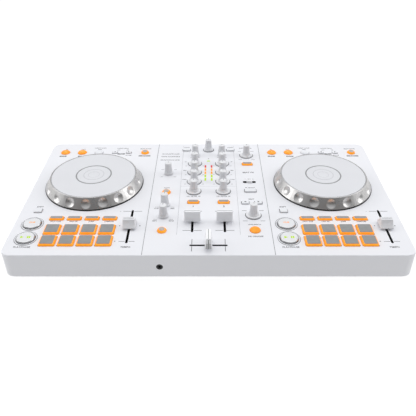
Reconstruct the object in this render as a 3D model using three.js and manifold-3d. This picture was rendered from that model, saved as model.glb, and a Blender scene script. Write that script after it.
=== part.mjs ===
// A two-deck DJ controller: a flat case with a jog wheel, eight pads and a tempo slider on each
// side, and a two-channel mixer between them.
// Millimetres, +X to the user's right, +Y away from the user, +Z up. The origin is on the surface
// that the feet stand on, at the centre of the case.
import * as THREE from "three";
import { mergeVertices } from "three/addons/utils/BufferGeometryUtils.js";
import Module from "manifold-3d";

const wasm = await Module();
wasm.setup();

// ---- Case ----
const CASE_WIDTH = 482;
const CASE_DEPTH = 272.4;
const FOOT_HEIGHT = 3;
const TRAY_HEIGHT = 6; // from the underside of the tray to the lower edge of the upper case
const WALL_HEIGHT = 32.1; // the visible side wall
const CORNER_RADIUS = 12;
const EDGE_CHAMFER = 1.2; // along the top edge of the case
const WALL = 2.5; // thickness of every shell
const TRAY_INSET = 9; // the tray's underside is this much smaller than the case all round
const SEAM = 0.3; // gap between pieces that touch on the real object
const BOARD_DEPTH = 13; // from the panel's top surface down to the main board
const BOARD_THICKNESS = 1.6;
const BOARD_SIDE_GAP = 38; // between the main board and the case's sides
const BOARD_FRONT_GAP = 16;
const STANDOFF_RADIUS = 3;
const BOSS_RADIUS = 4;
const BOSS_BORE = 1.3;
const BOSS_INSET_X = 19; // from the case's sides to the screw bosses
const BOSS_INSET_Y = 14.2;
const SCREW_RECESS_RADIUS = 3.4;
const SCREW_RECESS_DEPTH = 1.4;
const FOOT_LENGTH = 380;
const FOOT_WIDTH = 12;
const FOOT_FROM_EDGE = 26;

// ---- Controls: what they share ----
const KEY_CLEARANCE = 0.35; // round a key in its hole
const FLANGE = 1; // how far a key's flange reaches past its hole, under the panel
const FLANGE_THICKNESS = 1.5;
const STEM_RADIUS = 1.5; // the plunger that presses a key's switch
const STEM_GAP = 1.5; // between a plunger and the main board
const SHAFT_RADIUS = 3;
const SHAFT_CLEARANCE = 1;
const LEVER_DEPTH = 10; // a slider's lever reaches this far below the panel's top surface
const LEVER_CLEARANCE = 0.7; // on each side of the lever in its slot
const SLOT_END_CLEARANCE = 2;

// ---- Decks ----
const DECK_FROM_SIDE = 11.3; // between the left deck's cue key and the case's side
const PAD_SIZE = 19.3;
const PAD_GAP = 2.95;
const PAD_PROUD = 3;
const PAD_TAPER = 1.9; // a pad's top is this much smaller on each side
const PAD_FROM_FRONT = 16.8;
const PAD_COLUMNS = 4;
const PAD_ROWS = 2;
const MODE_KEY_WIDTH = 18.2;
const MODE_KEY_DEPTH = 7.8;
const MODE_KEY_GAP = 9.8; // between the back pads and the mode keys
const JOG_RADIUS = 67;
const JOG_SLOPE = 8.4; // how far the ring's side leans in
const JOG_HEIGHT = 15; // above the panel
const JOG_LIFT = 1; // under the ring's lower edge
const JOG_FROM_MODE_KEYS = 12.2;
const JOG_RIM = 1; // width of the ring's flat top edge
const JOG_WEB = 2.5;
const JOG_PLATE_THICKNESS = 3.2;
const JOG_AXLE_RADIUS = 4;
const JOG_BEARING_CLEARANCE = 0.4;
const JOG_BEARING_WALL = 4;
const JOG_DIMPLES = 18;
const DIMPLE_RADIUS = 6.2;
const DIMPLE_DEPTH = 1.6;
const LOOP_KEY_RADIUS = 6.6;
const TOP_KEYS_FROM_BACK = 28.2;
const SYNC_KEY_RADIUS = 6.2;
const TRANSPORT_KEY_RADIUS = 11.2;
const TRANSPORT_FROM_PADS = 6.8;
const TEMPO_TRAVEL = 60;
const TEMPO_FROM_PADS = 17.2; // to the slider's slot
const TEMPO_FROM_FRONT = 56.7;

// ---- Mixer ----
const INNER_COLUMN = 20; // x of the two channels
const OUTER_COLUMN = 57; // x of the outer strips
const KNOB_PITCH = 25;
const KNOB_HEIGHT = 17.5; // above the panel
const KNOB_LIFT = 0.8; // under a knob's skirt
const KNOB_TOP_RADIUS = 4.6;
const WIDE_SKIRT_RADIUS = 9.5;
const PLAIN_SKIRT_RADIUS = 6.5;
const FILTER_FROM_FRONT = 135.9;
const CHANNEL_TRAVEL = 40;
const CHANNEL_FADER_FROM_FRONT = 68.2;
const CHANNEL_REST = -2.6; // where the channel faders stand, from the middle of their travel
const CROSSFADER_TRAVEL = 40;
const CROSSFADER_FROM_FRONT = 18.7;
const FADER_WIDTH = 20;
const FADER_DEPTH = 8.8;
const FADER_HEIGHT = 17;
const SWITCH_TRAVEL = 10;

// ---- Sockets ----
const BAY_LEFT = -78; // the recess in the back wall that the sockets open into
const BAY_RIGHT = 100;
const BAY_DEPTH = 9;
const BAY_FLOOR = 13; // above the surface
const BAY_HEIGHT = 21;
const MIC_X = -57;
const MIC_BORE = 3.3;
const MIC_NECK = 1.5; // from the bore to the hole in the wall round the socket's neck
const MIC_LENGTH = 27;
const OUTPUT_X = 4;
const OUTPUT_PITCH = 14;
const OUTPUT_BARREL_RADIUS = 4.15;
const USB_X = [62, 84];
const LOCK_SLOT_X = 150;
const PHONES_FROM_TOP = 17.2;
const PHONES_RADIUS = 3.4;
const PHONES_BORE = 1.8;

// ---- Heights and places worked out from those ----
const TRAY_TOP = FOOT_HEIGHT + TRAY_HEIGHT;
const PANEL = TRAY_TOP + WALL_HEIGHT; // the panel's top surface
const UNDER_PANEL = PANEL - WALL;
const BOARD_TOP = PANEL - BOARD_DEPTH;
const STEM_BOTTOM = BOARD_TOP + STEM_GAP;
const FRONT = -CASE_DEPTH / 2;
const BACK = CASE_DEPTH / 2;
const PAD_PITCH = PAD_SIZE + PAD_GAP;
const PADS_WIDTH = PAD_PITCH * (PAD_COLUMNS - 1) + PAD_SIZE;
const TRANSPORT_X = -(PADS_WIDTH / 2 + TRANSPORT_FROM_PADS + TRANSPORT_KEY_RADIUS); // in a deck
const TEMPO_X = PADS_WIDTH / 2 + TEMPO_FROM_PADS; // in a deck
const DECK_X = CASE_WIDTH / 2 + TRANSPORT_X - TRANSPORT_KEY_RADIUS - DECK_FROM_SIDE;
const JOG_TOP_RADIUS = JOG_RADIUS - JOG_SLOPE;
const FRONT_PADS_Y = FRONT + PAD_FROM_FRONT + PAD_SIZE / 2;
const BACK_PADS_Y = FRONT_PADS_Y + PAD_PITCH * (PAD_ROWS - 1);
const MODE_KEYS_Y = BACK_PADS_Y + PAD_SIZE / 2 + MODE_KEY_GAP + MODE_KEY_DEPTH / 2;
const JOG_Y = MODE_KEYS_Y + MODE_KEY_DEPTH / 2 + JOG_FROM_MODE_KEYS + JOG_RADIUS;
const TOP_KEYS_Y = BACK - TOP_KEYS_FROM_BACK;
const FILTER_Y = FRONT + FILTER_FROM_FRONT;

// ---- Facets ----
const ROUND_STEPS = 16; // round keys and their holes
const KNOB_STEPS = 12;
const BORE_STEPS = 8;
const JOG_STEPS = JOG_DIMPLES * 4;
const CORNER_STEPS = 4;

// ---- Materials ----
const finish = (color, roughness, metalness = 0) =>
  new THREE.MeshStandardMaterial({ color, roughness, metalness });
const MATERIALS = {
  case_white: finish(0xe9e9ee, 0.45),
  key_white: finish(0xf2f2f4, 0.35),
  knob_white: finish(0xdededf, 0.6),
  key_orange: finish(0xff8a1c, 0.4),
  pad_grey: finish(0x8f9091, 0.7),
  jog_silver: finish(0xb9b9b8, 0.22, 1),
  jog_plate: finish(0xe4e4e8, 0.4),
  board_green: finish(0x1f5a37, 0.6),
  socket_black: finish(0x17171a, 0.5),
  rubber_black: finish(0x222224, 0.9),
};

// ---- Geometry helpers ----
// Every helper returns a closed BufferGeometry, which carve() and join() pass through manifold-3d.
function solidOf(geometry) {
  const bare = geometry.clone();
  bare.deleteAttribute("normal");
  bare.deleteAttribute("uv");
  const merged = mergeVertices(bare, 1e-4);
  return new wasm.Manifold(
    new wasm.Mesh({
      numProp: 3,
      vertProperties: new Float32Array(merged.attributes.position.array),
      triVerts: new Uint32Array(merged.index.array),
    }),
  );
}

function geometryOf(solid) {
  const mesh = solid.getMesh();
  return new THREE.BufferGeometry()
    .setAttribute("position", new THREE.BufferAttribute(mesh.vertProperties, 3))
    .setIndex(new THREE.BufferAttribute(mesh.triVerts, 1));
}

const join = (...parts) => geometryOf(parts.map(solidOf).reduce((all, next) => all.add(next)));

const carve = (base, ...tools) =>
  geometryOf(solidOf(base).subtract(solidOf(tools.length > 1 ? join(...tools) : tools[0])));

// An upright cylinder or cone from z0 to z1.
function disc(x, y, radius, z0, z1, { top = radius, steps = ROUND_STEPS } = {}) {
  return new THREE.CylinderGeometry(top, radius, z1 - z0, steps)
    .rotateX(Math.PI / 2)
    .translate(x, y, (z0 + z1) / 2);
}

// A cylinder along Y, from y0 to y1.
function rod(x, z, radius, y0, y1, steps = BORE_STEPS) {
  return new THREE.CylinderGeometry(radius, radius, y1 - y0, steps).translate(
    x,
    (y0 + y1) / 2,
    z,
  );
}

function block(x, y, width, depth, z0, z1) {
  return new THREE.BoxGeometry(width, depth, z1 - z0).translate(x, y, (z0 + z1) / 2);
}

function roundedRectangle(width, depth, radius) {
  const x = width / 2 - radius;
  const y = depth / 2 - radius;
  return new THREE.Shape()
    .absarc(x, y, radius, 0, Math.PI / 2)
    .absarc(-x, y, radius, Math.PI / 2, Math.PI)
    .absarc(-x, -y, radius, Math.PI, Math.PI * 1.5)
    .absarc(x, -y, radius, Math.PI * 1.5, Math.PI * 2);
}

// A rounded rectangular slab from z0 to z1, whose top is smaller by taper on every side.
function slab(x, y, width, depth, z0, z1, { radius = 0, taper = 0 } = {}) {
  const geometry = radius
    ? new THREE.ExtrudeGeometry(roundedRectangle(width, depth, radius), {
        depth: z1 - z0,
        bevelEnabled: false,
        curveSegments: CORNER_STEPS,
      })
    : new THREE.BoxGeometry(width, depth, z1 - z0).translate(0, 0, (z1 - z0) / 2);
  const position = geometry.attributes.position;
  for (let i = 0; i < position.count; i++) {
    if (position.getZ(i) < (z1 - z0) / 2) continue;
    position.setX(i, position.getX(i) * (1 - (2 * taper) / width));
    position.setY(i, position.getY(i) * (1 - (2 * taper) / depth));
  }
  return geometry.translate(x, y, z0);
}

function turned(profile, steps) {
  const points = profile.map(([r, z]) => new THREE.Vector2(r, z));
  return new THREE.LatheGeometry(points, steps).rotateX(Math.PI / 2);
}

// ---- Assembly ----
const controller = new THREE.Group();
const panelCuts = []; // what the panel leaves open for the controls, added by each control

function addPiece(name, geometry, material, x = 0, y = 0) {
  const mesh = new THREE.Mesh(geometry, material);
  mesh.name = name;
  mesh.position.set(x, y, 0);
  controller.add(mesh);
}

// ---- Keys ----
const FLANGE_TOP = UNDER_PANEL - SEAM;
const FLANGE_BOTTOM = FLANGE_TOP - FLANGE_THICKNESS;

// A round key: its cap, a flange under the panel and the plunger below.
function roundKey(x, y, radius, proud, taper) {
  panelCuts.push(disc(x, y, radius + KEY_CLEARANCE, FLANGE_TOP, PANEL + 1));
  const flange = radius + KEY_CLEARANCE + FLANGE;
  return turned(
    [
      [0, STEM_BOTTOM],
      [STEM_RADIUS, STEM_BOTTOM],
      [STEM_RADIUS, FLANGE_BOTTOM],
      [flange, FLANGE_BOTTOM],
      [flange, FLANGE_TOP],
      [radius, FLANGE_TOP],
      [radius, PANEL],
      [radius - taper, PANEL + proud],
      [0, PANEL + proud],
    ],
    ROUND_STEPS,
  ).translate(x, y, 0);
}

// A rectangular key without a flange: the cap in its hole.
function keyCap(x, y, width, depth, proud, taper) {
  panelCuts.push(
    block(x, y, width + 2 * KEY_CLEARANCE, depth + 2 * KEY_CLEARANCE, FLANGE_TOP, PANEL + 1),
  );
  return join(
    block(x, y, width, depth, FLANGE_BOTTOM, PANEL),
    slab(x, y, width, depth, PANEL - SEAM, PANEL + proud, { taper }),
  );
}

function plunger(x, y) {
  return block(x, y, 2 * STEM_RADIUS, 2 * STEM_RADIUS, STEM_BOTTOM, FLANGE_TOP);
}

// The strip under the panel that carries a moulding's keys, reaching FLANGE past their holes.
function keyStrip(x, y, width, depth) {
  const past = 2 * (KEY_CLEARANCE + FLANGE);
  return block(x, y, width + past, depth + past, FLANGE_BOTTOM, FLANGE_TOP);
}

function addRoundKey(name, x, y, radius, material, { proud = 2.4, taper = 0.6 } = {}) {
  addPiece(name, roundKey(x, y, radius, proud, taper), material);
}

function addRectangularKey(name, x, y, width, depth, material, { proud = 1.8, taper = 0.5 } = {}) {
  addPiece(
    name,
    join(keyCap(x, y, width, depth, proud, taper), keyStrip(x, y, width, depth), plunger(x, y)),
    material,
  );
}

// ---- Knobs ----
// A turned knob with a shaft that goes through the panel.
function addKnob(name, x, y, skirt, { shaftBottom = STEM_BOTTOM, shaft = SHAFT_RADIUS } = {}) {
  panelCuts.push(
    disc(x, y, SHAFT_RADIUS + SHAFT_CLEARANCE, FLANGE_TOP, PANEL + 1, { steps: BORE_STEPS }),
  );
  const profile = [
    [0, shaftBottom],
    [shaft, shaftBottom],
    [shaft, PANEL + KNOB_LIFT],
    [skirt, PANEL + KNOB_LIFT],
    [skirt, PANEL + 1.6],
    [KNOB_TOP_RADIUS + 1.2, PANEL + 2.8],
    [KNOB_TOP_RADIUS, PANEL + KNOB_HEIGHT],
    [0, PANEL + KNOB_HEIGHT],
  ];
  addPiece(name, turned(profile, KNOB_STEPS), MATERIALS.knob_white, x, y);
}

// ---- Sliders ----
// A slider's cap and lever. along is the axis that it travels on, and across is the cap's length
// at right angles to that.
function addSlider(name, x, y, { along, across, depth, topDepth, height, lift, travel, rest = 0 }) {
  const lever = 4; // along the slot
  const blade = 1.6; // across the slot
  const slotLength = travel + lever + 2 * SLOT_END_CLEARANCE;
  const slotWidth = blade + 2 * LEVER_CLEARANCE;
  const size = (a, b) => (along === "y" ? [a, b] : [b, a]); // across, along to x, y
  panelCuts.push(block(x, y, ...size(slotWidth, slotLength), FLANGE_TOP, PANEL + 1));
  const [capWidth, capDepth] = size(across, depth);
  const taper = (depth - topDepth) / 2;
  const cap = slab(0, 0, capWidth, capDepth, PANEL + lift, PANEL + height);
  const position = cap.attributes.position;
  for (let i = 0; i < position.count; i++) {
    if (position.getZ(i) < PANEL + height - 0.5) continue;
    if (along === "y") position.setY(i, Math.sign(position.getY(i)) * (depth / 2 - taper));
    else position.setX(i, Math.sign(position.getX(i)) * (depth / 2 - taper));
  }
  const geometry = join(
    cap,
    block(0, 0, ...size(blade, lever), PANEL - LEVER_DEPTH, PANEL + lift + 1),
  );
  const [dx, dy] = size(0, rest);
  addPiece(name, geometry, MATERIALS.knob_white, x + dx, y + dy);
}

// ---- Jog wheels ----
// The ring's slanted side runs from its lower edge to its top edge, and its finger dimples are
// shallow dishes pressed into it.
function jogRing() {
  const low = PANEL + JOG_LIFT;
  const top = PANEL + JOG_HEIGHT;
  const web = top - JOG_PLATE_THICKNESS - SEAM;
  const inside = JOG_TOP_RADIUS - JOG_RIM;
  const sideLow = new THREE.Vector2(JOG_RADIUS, low + 0.8);
  const sideTop = new THREE.Vector2(JOG_TOP_RADIUS, top - 0.4);
  const levels = 4;
  const side = Array.from({ length: levels + 1 }, (_, i) =>
    sideLow.clone().lerp(sideTop, i / levels).toArray(),
  );
  const geometry = turned(
    [
      [0, PANEL - JOG_LIFT - WALL - 2.5],
      [JOG_AXLE_RADIUS, PANEL - JOG_LIFT - WALL - 2.5],
      [JOG_AXLE_RADIUS, web - JOG_WEB],
      [inside - 4, web - JOG_WEB],
      [JOG_RADIUS - 3, low],
      ...side,
      [inside, top],
      [inside, web],
      [0, web],
    ],
    JOG_STEPS,
  );
  const slope = sideTop.clone().sub(sideLow);
  const length = slope.length();
  const inward = new THREE.Vector2(-slope.y, slope.x).divideScalar(length); // into the ring
  const middle = sideLow.clone().lerp(sideTop, 0.5);
  const position = geometry.attributes.position;
  for (let i = 0; i < position.count; i++) {
    const point = new THREE.Vector2(
      Math.hypot(position.getX(i), position.getY(i)),
      position.getZ(i),
    );
    const fromMiddle = point.clone().sub(middle);
    if (Math.abs(fromMiddle.dot(inward)) > 0.01) continue; // not on the slanted side
    const along = fromMiddle.dot(slope) / length;
    const angle = Math.atan2(position.getY(i), position.getX(i));
    const pitch = (2 * Math.PI) / JOG_DIMPLES;
    const offset = (angle + Math.PI / 2) / pitch;
    const around = (offset - Math.round(offset)) * pitch * middle.x;
    const share = 1 - (along ** 2 + around ** 2) / DIMPLE_RADIUS ** 2;
    if (share <= 0) continue;
    const moved = point.addScaledVector(inward, DIMPLE_DEPTH * share);
    position.setXYZ(i, moved.x * Math.cos(angle), moved.x * Math.sin(angle), moved.y);
  }
  return geometry;
}

function jogPlate() {
  const top = PANEL + JOG_HEIGHT;
  const bottom = top - JOG_PLATE_THICKNESS;
  const radius = JOG_TOP_RADIUS - JOG_RIM - SEAM;
  return turned(
    [
      [0, bottom],
      [radius, bottom],
      [radius, top - 0.4],
      [radius - 0.4, top],
      [0, top],
    ],
    JOG_STEPS / 2,
  );
}

// The bearing that an axle turns in stands on the panel, inside the ring.
const jogBearing = (x) =>
  disc(
    x,
    JOG_Y,
    JOG_AXLE_RADIUS + JOG_BEARING_CLEARANCE + JOG_BEARING_WALL,
    UNDER_PANEL,
    PANEL + JOG_HEIGHT - JOG_PLATE_THICKNESS - JOG_WEB - 2 * SEAM - 0.4,
  );

// ---- Decks ----
// Both decks have the same layout, so the tempo slider is at the right of each.
function addDeck(side, x) {
  const columns = Array.from(
    { length: PAD_COLUMNS },
    (_, i) => x + (i - (PAD_COLUMNS - 1) / 2) * PAD_PITCH,
  );
  const rows = [FRONT_PADS_Y, BACK_PADS_Y];
  const rowWidth = PAD_PITCH * (PAD_COLUMNS - 1);

  addPiece(`jog_ring_${side}`, jogRing(), MATERIALS.jog_silver, x, JOG_Y);
  addPiece(`jog_plate_${side}`, jogPlate(), MATERIALS.jog_plate, x, JOG_Y);
  panelCuts.push(
    disc(x, JOG_Y, JOG_AXLE_RADIUS + JOG_BEARING_CLEARANCE, FLANGE_TOP, PANEL + JOG_HEIGHT),
  );

  // The eight pads are one silicone moulding, and so are the four mode keys.
  const matDepth = PAD_PITCH * (PAD_ROWS - 1) + PAD_SIZE;
  addPiece(
    `pad_mat_${side}`,
    join(
      keyStrip(x, (FRONT_PADS_Y + BACK_PADS_Y) / 2, PADS_WIDTH, matDepth),
      ...rows.flatMap((y) =>
        columns.map((c) => keyCap(c, y, PAD_SIZE, PAD_SIZE, PAD_PROUD, PAD_TAPER)),
      ),
    ),
    MATERIALS.pad_grey,
  );
  addPiece(
    `mode_keys_${side}`,
    join(
      keyStrip(x, MODE_KEYS_Y, rowWidth + MODE_KEY_WIDTH, MODE_KEY_DEPTH),
      ...columns.map((c) => keyCap(c, MODE_KEYS_Y, MODE_KEY_WIDTH, MODE_KEY_DEPTH, 2.6, 1.2)),
      ...columns.map((c) => plunger(c, MODE_KEYS_Y)),
    ),
    MATERIALS.key_orange,
  );

  const loopKeys = [-61, -35.5, -10].map((dx) => x + dx);
  addPiece(
    `loop_keys_${side}`,
    join(
      block(
        (loopKeys[0] + loopKeys[2]) / 2,
        TOP_KEYS_Y,
        loopKeys[2] - loopKeys[0],
        LOOP_KEY_RADIUS,
        FLANGE_BOTTOM,
        FLANGE_TOP,
      ),
      ...loopKeys.map((key) => roundKey(key, TOP_KEYS_Y, LOOP_KEY_RADIUS, 2.2, 1.2)),
    ),
    MATERIALS.key_orange,
  );
  const callKeys = [14.5, 35.5].map((dx) => x + dx);
  addPiece(
    `call_keys_${side}`,
    join(
      keyStrip((callKeys[0] + callKeys[1]) / 2, TOP_KEYS_Y, callKeys[1] - callKeys[0] + 8, 6.5),
      ...callKeys.map((key) => keyCap(key, TOP_KEYS_Y, 8, 6.5, 1.6, 0.5)),
      ...callKeys.map((key) => plunger(key, TOP_KEYS_Y)),
    ),
    MATERIALS.key_white,
  );
  addRoundKey(`sync_key_${side}`, x + 60.5, TOP_KEYS_Y, SYNC_KEY_RADIUS, MATERIALS.key_orange, {
    proud: 3,
    taper: 1.2,
  });
  addRectangularKey(
    `shift_key_${side}`,
    x + TRANSPORT_X,
    MODE_KEYS_Y + 17,
    10,
    9,
    MATERIALS.key_white,
  );
  addRoundKey(
    `cue_key_${side}`,
    x + TRANSPORT_X,
    FRONT_PADS_Y + 34.2,
    TRANSPORT_KEY_RADIUS,
    MATERIALS.key_white,
  );
  addRoundKey(
    `play_key_${side}`,
    x + TRANSPORT_X,
    FRONT_PADS_Y + 5.4,
    TRANSPORT_KEY_RADIUS,
    MATERIALS.key_white,
  );
  addSlider(`tempo_cap_${side}`, x + TEMPO_X, FRONT + TEMPO_FROM_FRONT, {
    along: "y",
    across: 16,
    depth: 19,
    topDepth: 6,
    height: 12,
    lift: 2,
    travel: TEMPO_TRAVEL,
  });
}

addDeck("left", -DECK_X);
addDeck("right", DECK_X);

// ---- Mixer ----
const FADER = {
  across: FADER_WIDTH,
  depth: FADER_DEPTH,
  topDepth: FADER_DEPTH - 3,
  height: FADER_HEIGHT,
  lift: 3,
};
const CUE_KEY = { proud: 2.6, taper: 1.2 };

function addChannel(number, x) {
  const names = ["filter", "low", "mid", "high", "trim"];
  names.forEach((name, i) => {
    const skirt = name === "trim" ? PLAIN_SKIRT_RADIUS : WIDE_SKIRT_RADIUS;
    addKnob(`${name}_knob_${number}`, x, FILTER_Y + i * KNOB_PITCH, skirt);
  });
  addRectangularKey(
    `channel_cue_key_${number}`,
    x,
    FILTER_Y - 26.9,
    15.4,
    7.6,
    MATERIALS.key_orange,
    CUE_KEY,
  );
  addSlider(`channel_fader_cap_${number}`, x, FRONT + CHANNEL_FADER_FROM_FRONT, {
    ...FADER,
    along: "y",
    travel: CHANNEL_TRAVEL,
    rest: CHANNEL_REST,
  });
  addRectangularKey(`load_key_${number}`, x * 1.675, BACK - 20.2, 12, 7, MATERIALS.key_white);
}

addChannel(1, -INNER_COLUMN);
addChannel(2, INNER_COLUMN);
addSlider("crossfader_cap", 0, FRONT + CROSSFADER_FROM_FRONT, {
  ...FADER,
  along: "x",
  travel: CROSSFADER_TRAVEL,
});

// The browse knob turns on a shaft that also presses down, so the shaft is a piece of its own.
const BROWSE_Y = BACK - 19.2;
const BROWSE_SKIRT_RADIUS = 7.5;
const BROWSE_SHAFT_TOP = PANEL + KNOB_LIFT + 6;
function addBrowseKnob() {
  const bore = disc(0, 0, SHAFT_RADIUS + SEAM, PANEL, BROWSE_SHAFT_TOP + SEAM, {
    steps: KNOB_STEPS,
  });
  const knob = turned(
    [
      [0, PANEL + KNOB_LIFT],
      [BROWSE_SKIRT_RADIUS, PANEL + KNOB_LIFT],
      [BROWSE_SKIRT_RADIUS, PANEL + 2],
      [KNOB_TOP_RADIUS + 1.2, PANEL + 3],
      [KNOB_TOP_RADIUS, PANEL + KNOB_HEIGHT],
      [0, PANEL + KNOB_HEIGHT],
    ],
    KNOB_STEPS,
  );
  addPiece("browse_knob", carve(knob, bore), MATERIALS.knob_white, 0, BROWSE_Y);
  panelCuts.push(
    disc(0, BROWSE_Y, SHAFT_RADIUS + SHAFT_CLEARANCE, FLANGE_TOP, PANEL + 1, {
      steps: BORE_STEPS,
    }),
  );
  addPiece(
    "browse_shaft",
    disc(0, 0, SHAFT_RADIUS, STEM_BOTTOM, BROWSE_SHAFT_TOP, { steps: KNOB_STEPS }),
    MATERIALS.socket_black,
    0,
    BROWSE_Y,
  );
}
addBrowseKnob();

const LEFT = -OUTER_COLUMN;
const RIGHT = OUTER_COLUMN;
addKnob("mic_level_knob", LEFT, FILTER_Y + 46.8, PLAIN_SKIRT_RADIUS);
addRoundKey("filter_assist_key", LEFT, FILTER_Y - 3.2, 6, MATERIALS.key_orange, {
  proud: 3,
  taper: 1.2,
});
addKnob("phones_mix_knob", LEFT, FILTER_Y - 33.2, PLAIN_SKIRT_RADIUS);
addKnob("phones_level_knob", LEFT, FILTER_Y - 58.7, PLAIN_SKIRT_RADIUS);
addRoundKey("fader_assist_key", LEFT, FILTER_Y - 88.7, 6, MATERIALS.key_orange, {
  proud: 3,
  taper: 1.2,
});
addKnob("master_level_knob", RIGHT, FILTER_Y + 99.8, WIDE_SKIRT_RADIUS);
addRectangularKey(
  "master_cue_key",
  RIGHT,
  FILTER_Y + 72.8,
  15.4,
  7.6,
  MATERIALS.key_orange,
  CUE_KEY,
);
addSlider("effect_channel_switch", RIGHT, FILTER_Y + 23.3, {
  along: "x",
  across: 4.8,
  depth: 8.4,
  topDepth: 7.4,
  height: 3,
  lift: 0.6,
  travel: SWITCH_TRAVEL,
});
addRectangularKey("effect_select_key", RIGHT, FILTER_Y + 0.8, 16, 8.4, MATERIALS.key_white);
function addBeatKeys() {
  const y = FILTER_Y - 28.2;
  const keys = [RIGHT - 8.6, RIGHT + 8.6];
  addPiece(
    "beat_keys",
    join(
      keyStrip(RIGHT, y, keys[1] - keys[0] + 10, 8),
      ...keys.map((x) => keyCap(x, y, 10, 8, 1.8, 0.5)),
      ...keys.map((x) => plunger(x, y)),
    ),
    MATERIALS.key_white,
  );
}
addBeatKeys();
addKnob("effect_level_knob", RIGHT, FILTER_Y - 56.2, WIDE_SKIRT_RADIUS);
addRoundKey("effect_on_key", RIGHT, FILTER_Y - 87.7, LOOP_KEY_RADIUS, MATERIALS.key_orange, {
  proud: 2.2,
  taper: 1.2,
});

// ---- Case ----
const BOSSES = [-1, 1].flatMap((sx) =>
  [-1, 0, 1].map((sy) => [sx * (CASE_WIDTH / 2 - BOSS_INSET_X), sy * (BACK - BOSS_INSET_Y)]),
);
const BAY_WIDTH = BAY_RIGHT - BAY_LEFT;
const BAY_X = (BAY_LEFT + BAY_RIGHT) / 2;
const BAY_WALL_Y = BACK - BAY_DEPTH; // the face that the sockets open through
const OUTPUT_Z = BAY_FLOOR + BAY_HEIGHT / 2 - 0.5;
const PHONES_Z = PANEL - PHONES_FROM_TOP;

function shellOutline(inset, z0, z1, taper = 0) {
  return slab(0, 0, CASE_WIDTH - 2 * inset, CASE_DEPTH - 2 * inset, z0, z1, {
    radius: CORNER_RADIUS - inset > 1 ? CORNER_RADIUS - inset : 1,
    taper,
  });
}

function upperCase() {
  const outside = join(
    shellOutline(0, TRAY_TOP, PANEL - EDGE_CHAMFER),
    shellOutline(0, PANEL - EDGE_CHAMFER, PANEL, EDGE_CHAMFER),
  );
  const inside = shellOutline(WALL, TRAY_TOP - 1, UNDER_PANEL);
  const bayBox = block(
    BAY_X,
    BACK - (BAY_DEPTH + WALL) / 2 - 0.1,
    BAY_WIDTH + 2 * WALL,
    BAY_DEPTH + WALL - 0.2,
    BAY_FLOOR - WALL,
    BAY_FLOOR + BAY_HEIGHT + WALL,
  );
  const bay = block(
    BAY_X,
    BACK - BAY_DEPTH / 2 + 0.5,
    BAY_WIDTH,
    BAY_DEPTH + 1,
    BAY_FLOOR,
    BAY_FLOOR + BAY_HEIGHT,
  );
  const through = [BAY_WALL_Y - WALL - 1, BAY_WALL_Y + 1];
  const socketHoles = [
    rod(MIC_X, OUTPUT_Z, MIC_BORE + MIC_NECK, ...through, ROUND_STEPS),
    ...[-1, 1].map((s) =>
      rod(
        OUTPUT_X + (s * OUTPUT_PITCH) / 2,
        OUTPUT_Z,
        OUTPUT_BARREL_RADIUS + SEAM,
        ...through,
        ROUND_STEPS,
      ),
    ),
    ...USB_X.map((x) =>
      block(x, BAY_WALL_Y - WALL / 2, 10.2, WALL + 2, BAY_FLOOR + 5.4, BAY_FLOOR + 9.8),
    ),
  ];
  const lockSlot = block(LOCK_SLOT_X, BACK, 7, 3 * WALL, PANEL - 20, PANEL - 17);
  const phonesHole = rod(
    LEFT,
    PHONES_Z,
    PHONES_RADIUS + KEY_CLEARANCE,
    FRONT - 1,
    FRONT + WALL + 1,
    ROUND_STEPS,
  );
  const bosses = BOSSES.map(([x, y]) =>
    disc(x, y, BOSS_RADIUS, TRAY_TOP + SEAM, UNDER_PANEL + 0.5, { steps: BORE_STEPS }),
  );
  const bossBores = BOSSES.map(([x, y]) =>
    disc(x, y, BOSS_BORE, TRAY_TOP - 1, UNDER_PANEL - 4, { steps: 6 }),
  );
  return carve(
    join(carve(outside, inside), bayBox, jogBearing(-DECK_X), jogBearing(DECK_X), ...bosses),
    bay,
    ...socketHoles,
    lockSlot,
    phonesHole,
    ...bossBores,
    ...panelCuts,
  );
}
addPiece("upper_case", upperCase(), MATERIALS.case_white);

// The tray closes the case from below. Its sides slant out to the case's lower edge.
function bottomTray() {
  const slanted = (inset, z0, z1, spread) =>
    slab(0, 0, CASE_WIDTH - 2 * inset, CASE_DEPTH - 2 * inset, z0, z1, {
      radius: CORNER_RADIUS,
      taper: -spread,
    });
  const rim = TRAY_TOP - SEAM;
  const spread = TRAY_INSET - 0.5;
  const screwHoles = BOSSES.flatMap(([x, y]) => [
    disc(x, y, BOSS_BORE + 0.5, FOOT_HEIGHT - 1, TRAY_TOP + 1, { steps: BORE_STEPS }),
    disc(x, y, SCREW_RECESS_RADIUS, FOOT_HEIGHT - 1, FOOT_HEIGHT + SCREW_RECESS_DEPTH, {
      steps: BORE_STEPS,
    }),
  ]);
  const standoffs = [-1, 1].flatMap((sx) =>
    [-1, 1].map((sy) =>
      disc(
        sx * (CASE_WIDTH / 2 - BOARD_SIDE_GAP - 12),
        sy * (CASE_DEPTH / 2 - 40),
        STANDOFF_RADIUS,
        FOOT_HEIGHT + 1,
        BOARD_TOP - BOARD_THICKNESS - SEAM,
        { steps: BORE_STEPS },
      ),
    ),
  );
  const pillars = BOSSES.map(([x, y]) =>
    disc(x, y, BOSS_RADIUS, FOOT_HEIGHT + 1, rim, { steps: BORE_STEPS }),
  );
  return carve(
    join(
      carve(
        slanted(TRAY_INSET, FOOT_HEIGHT, rim, spread),
        slanted(TRAY_INSET + WALL, FOOT_HEIGHT + WALL, rim + 1, spread),
      ),
      ...standoffs,
      ...pillars,
    ),
    ...screwHoles,
  );
}
addPiece("bottom_tray", bottomTray(), MATERIALS.case_white);

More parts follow.
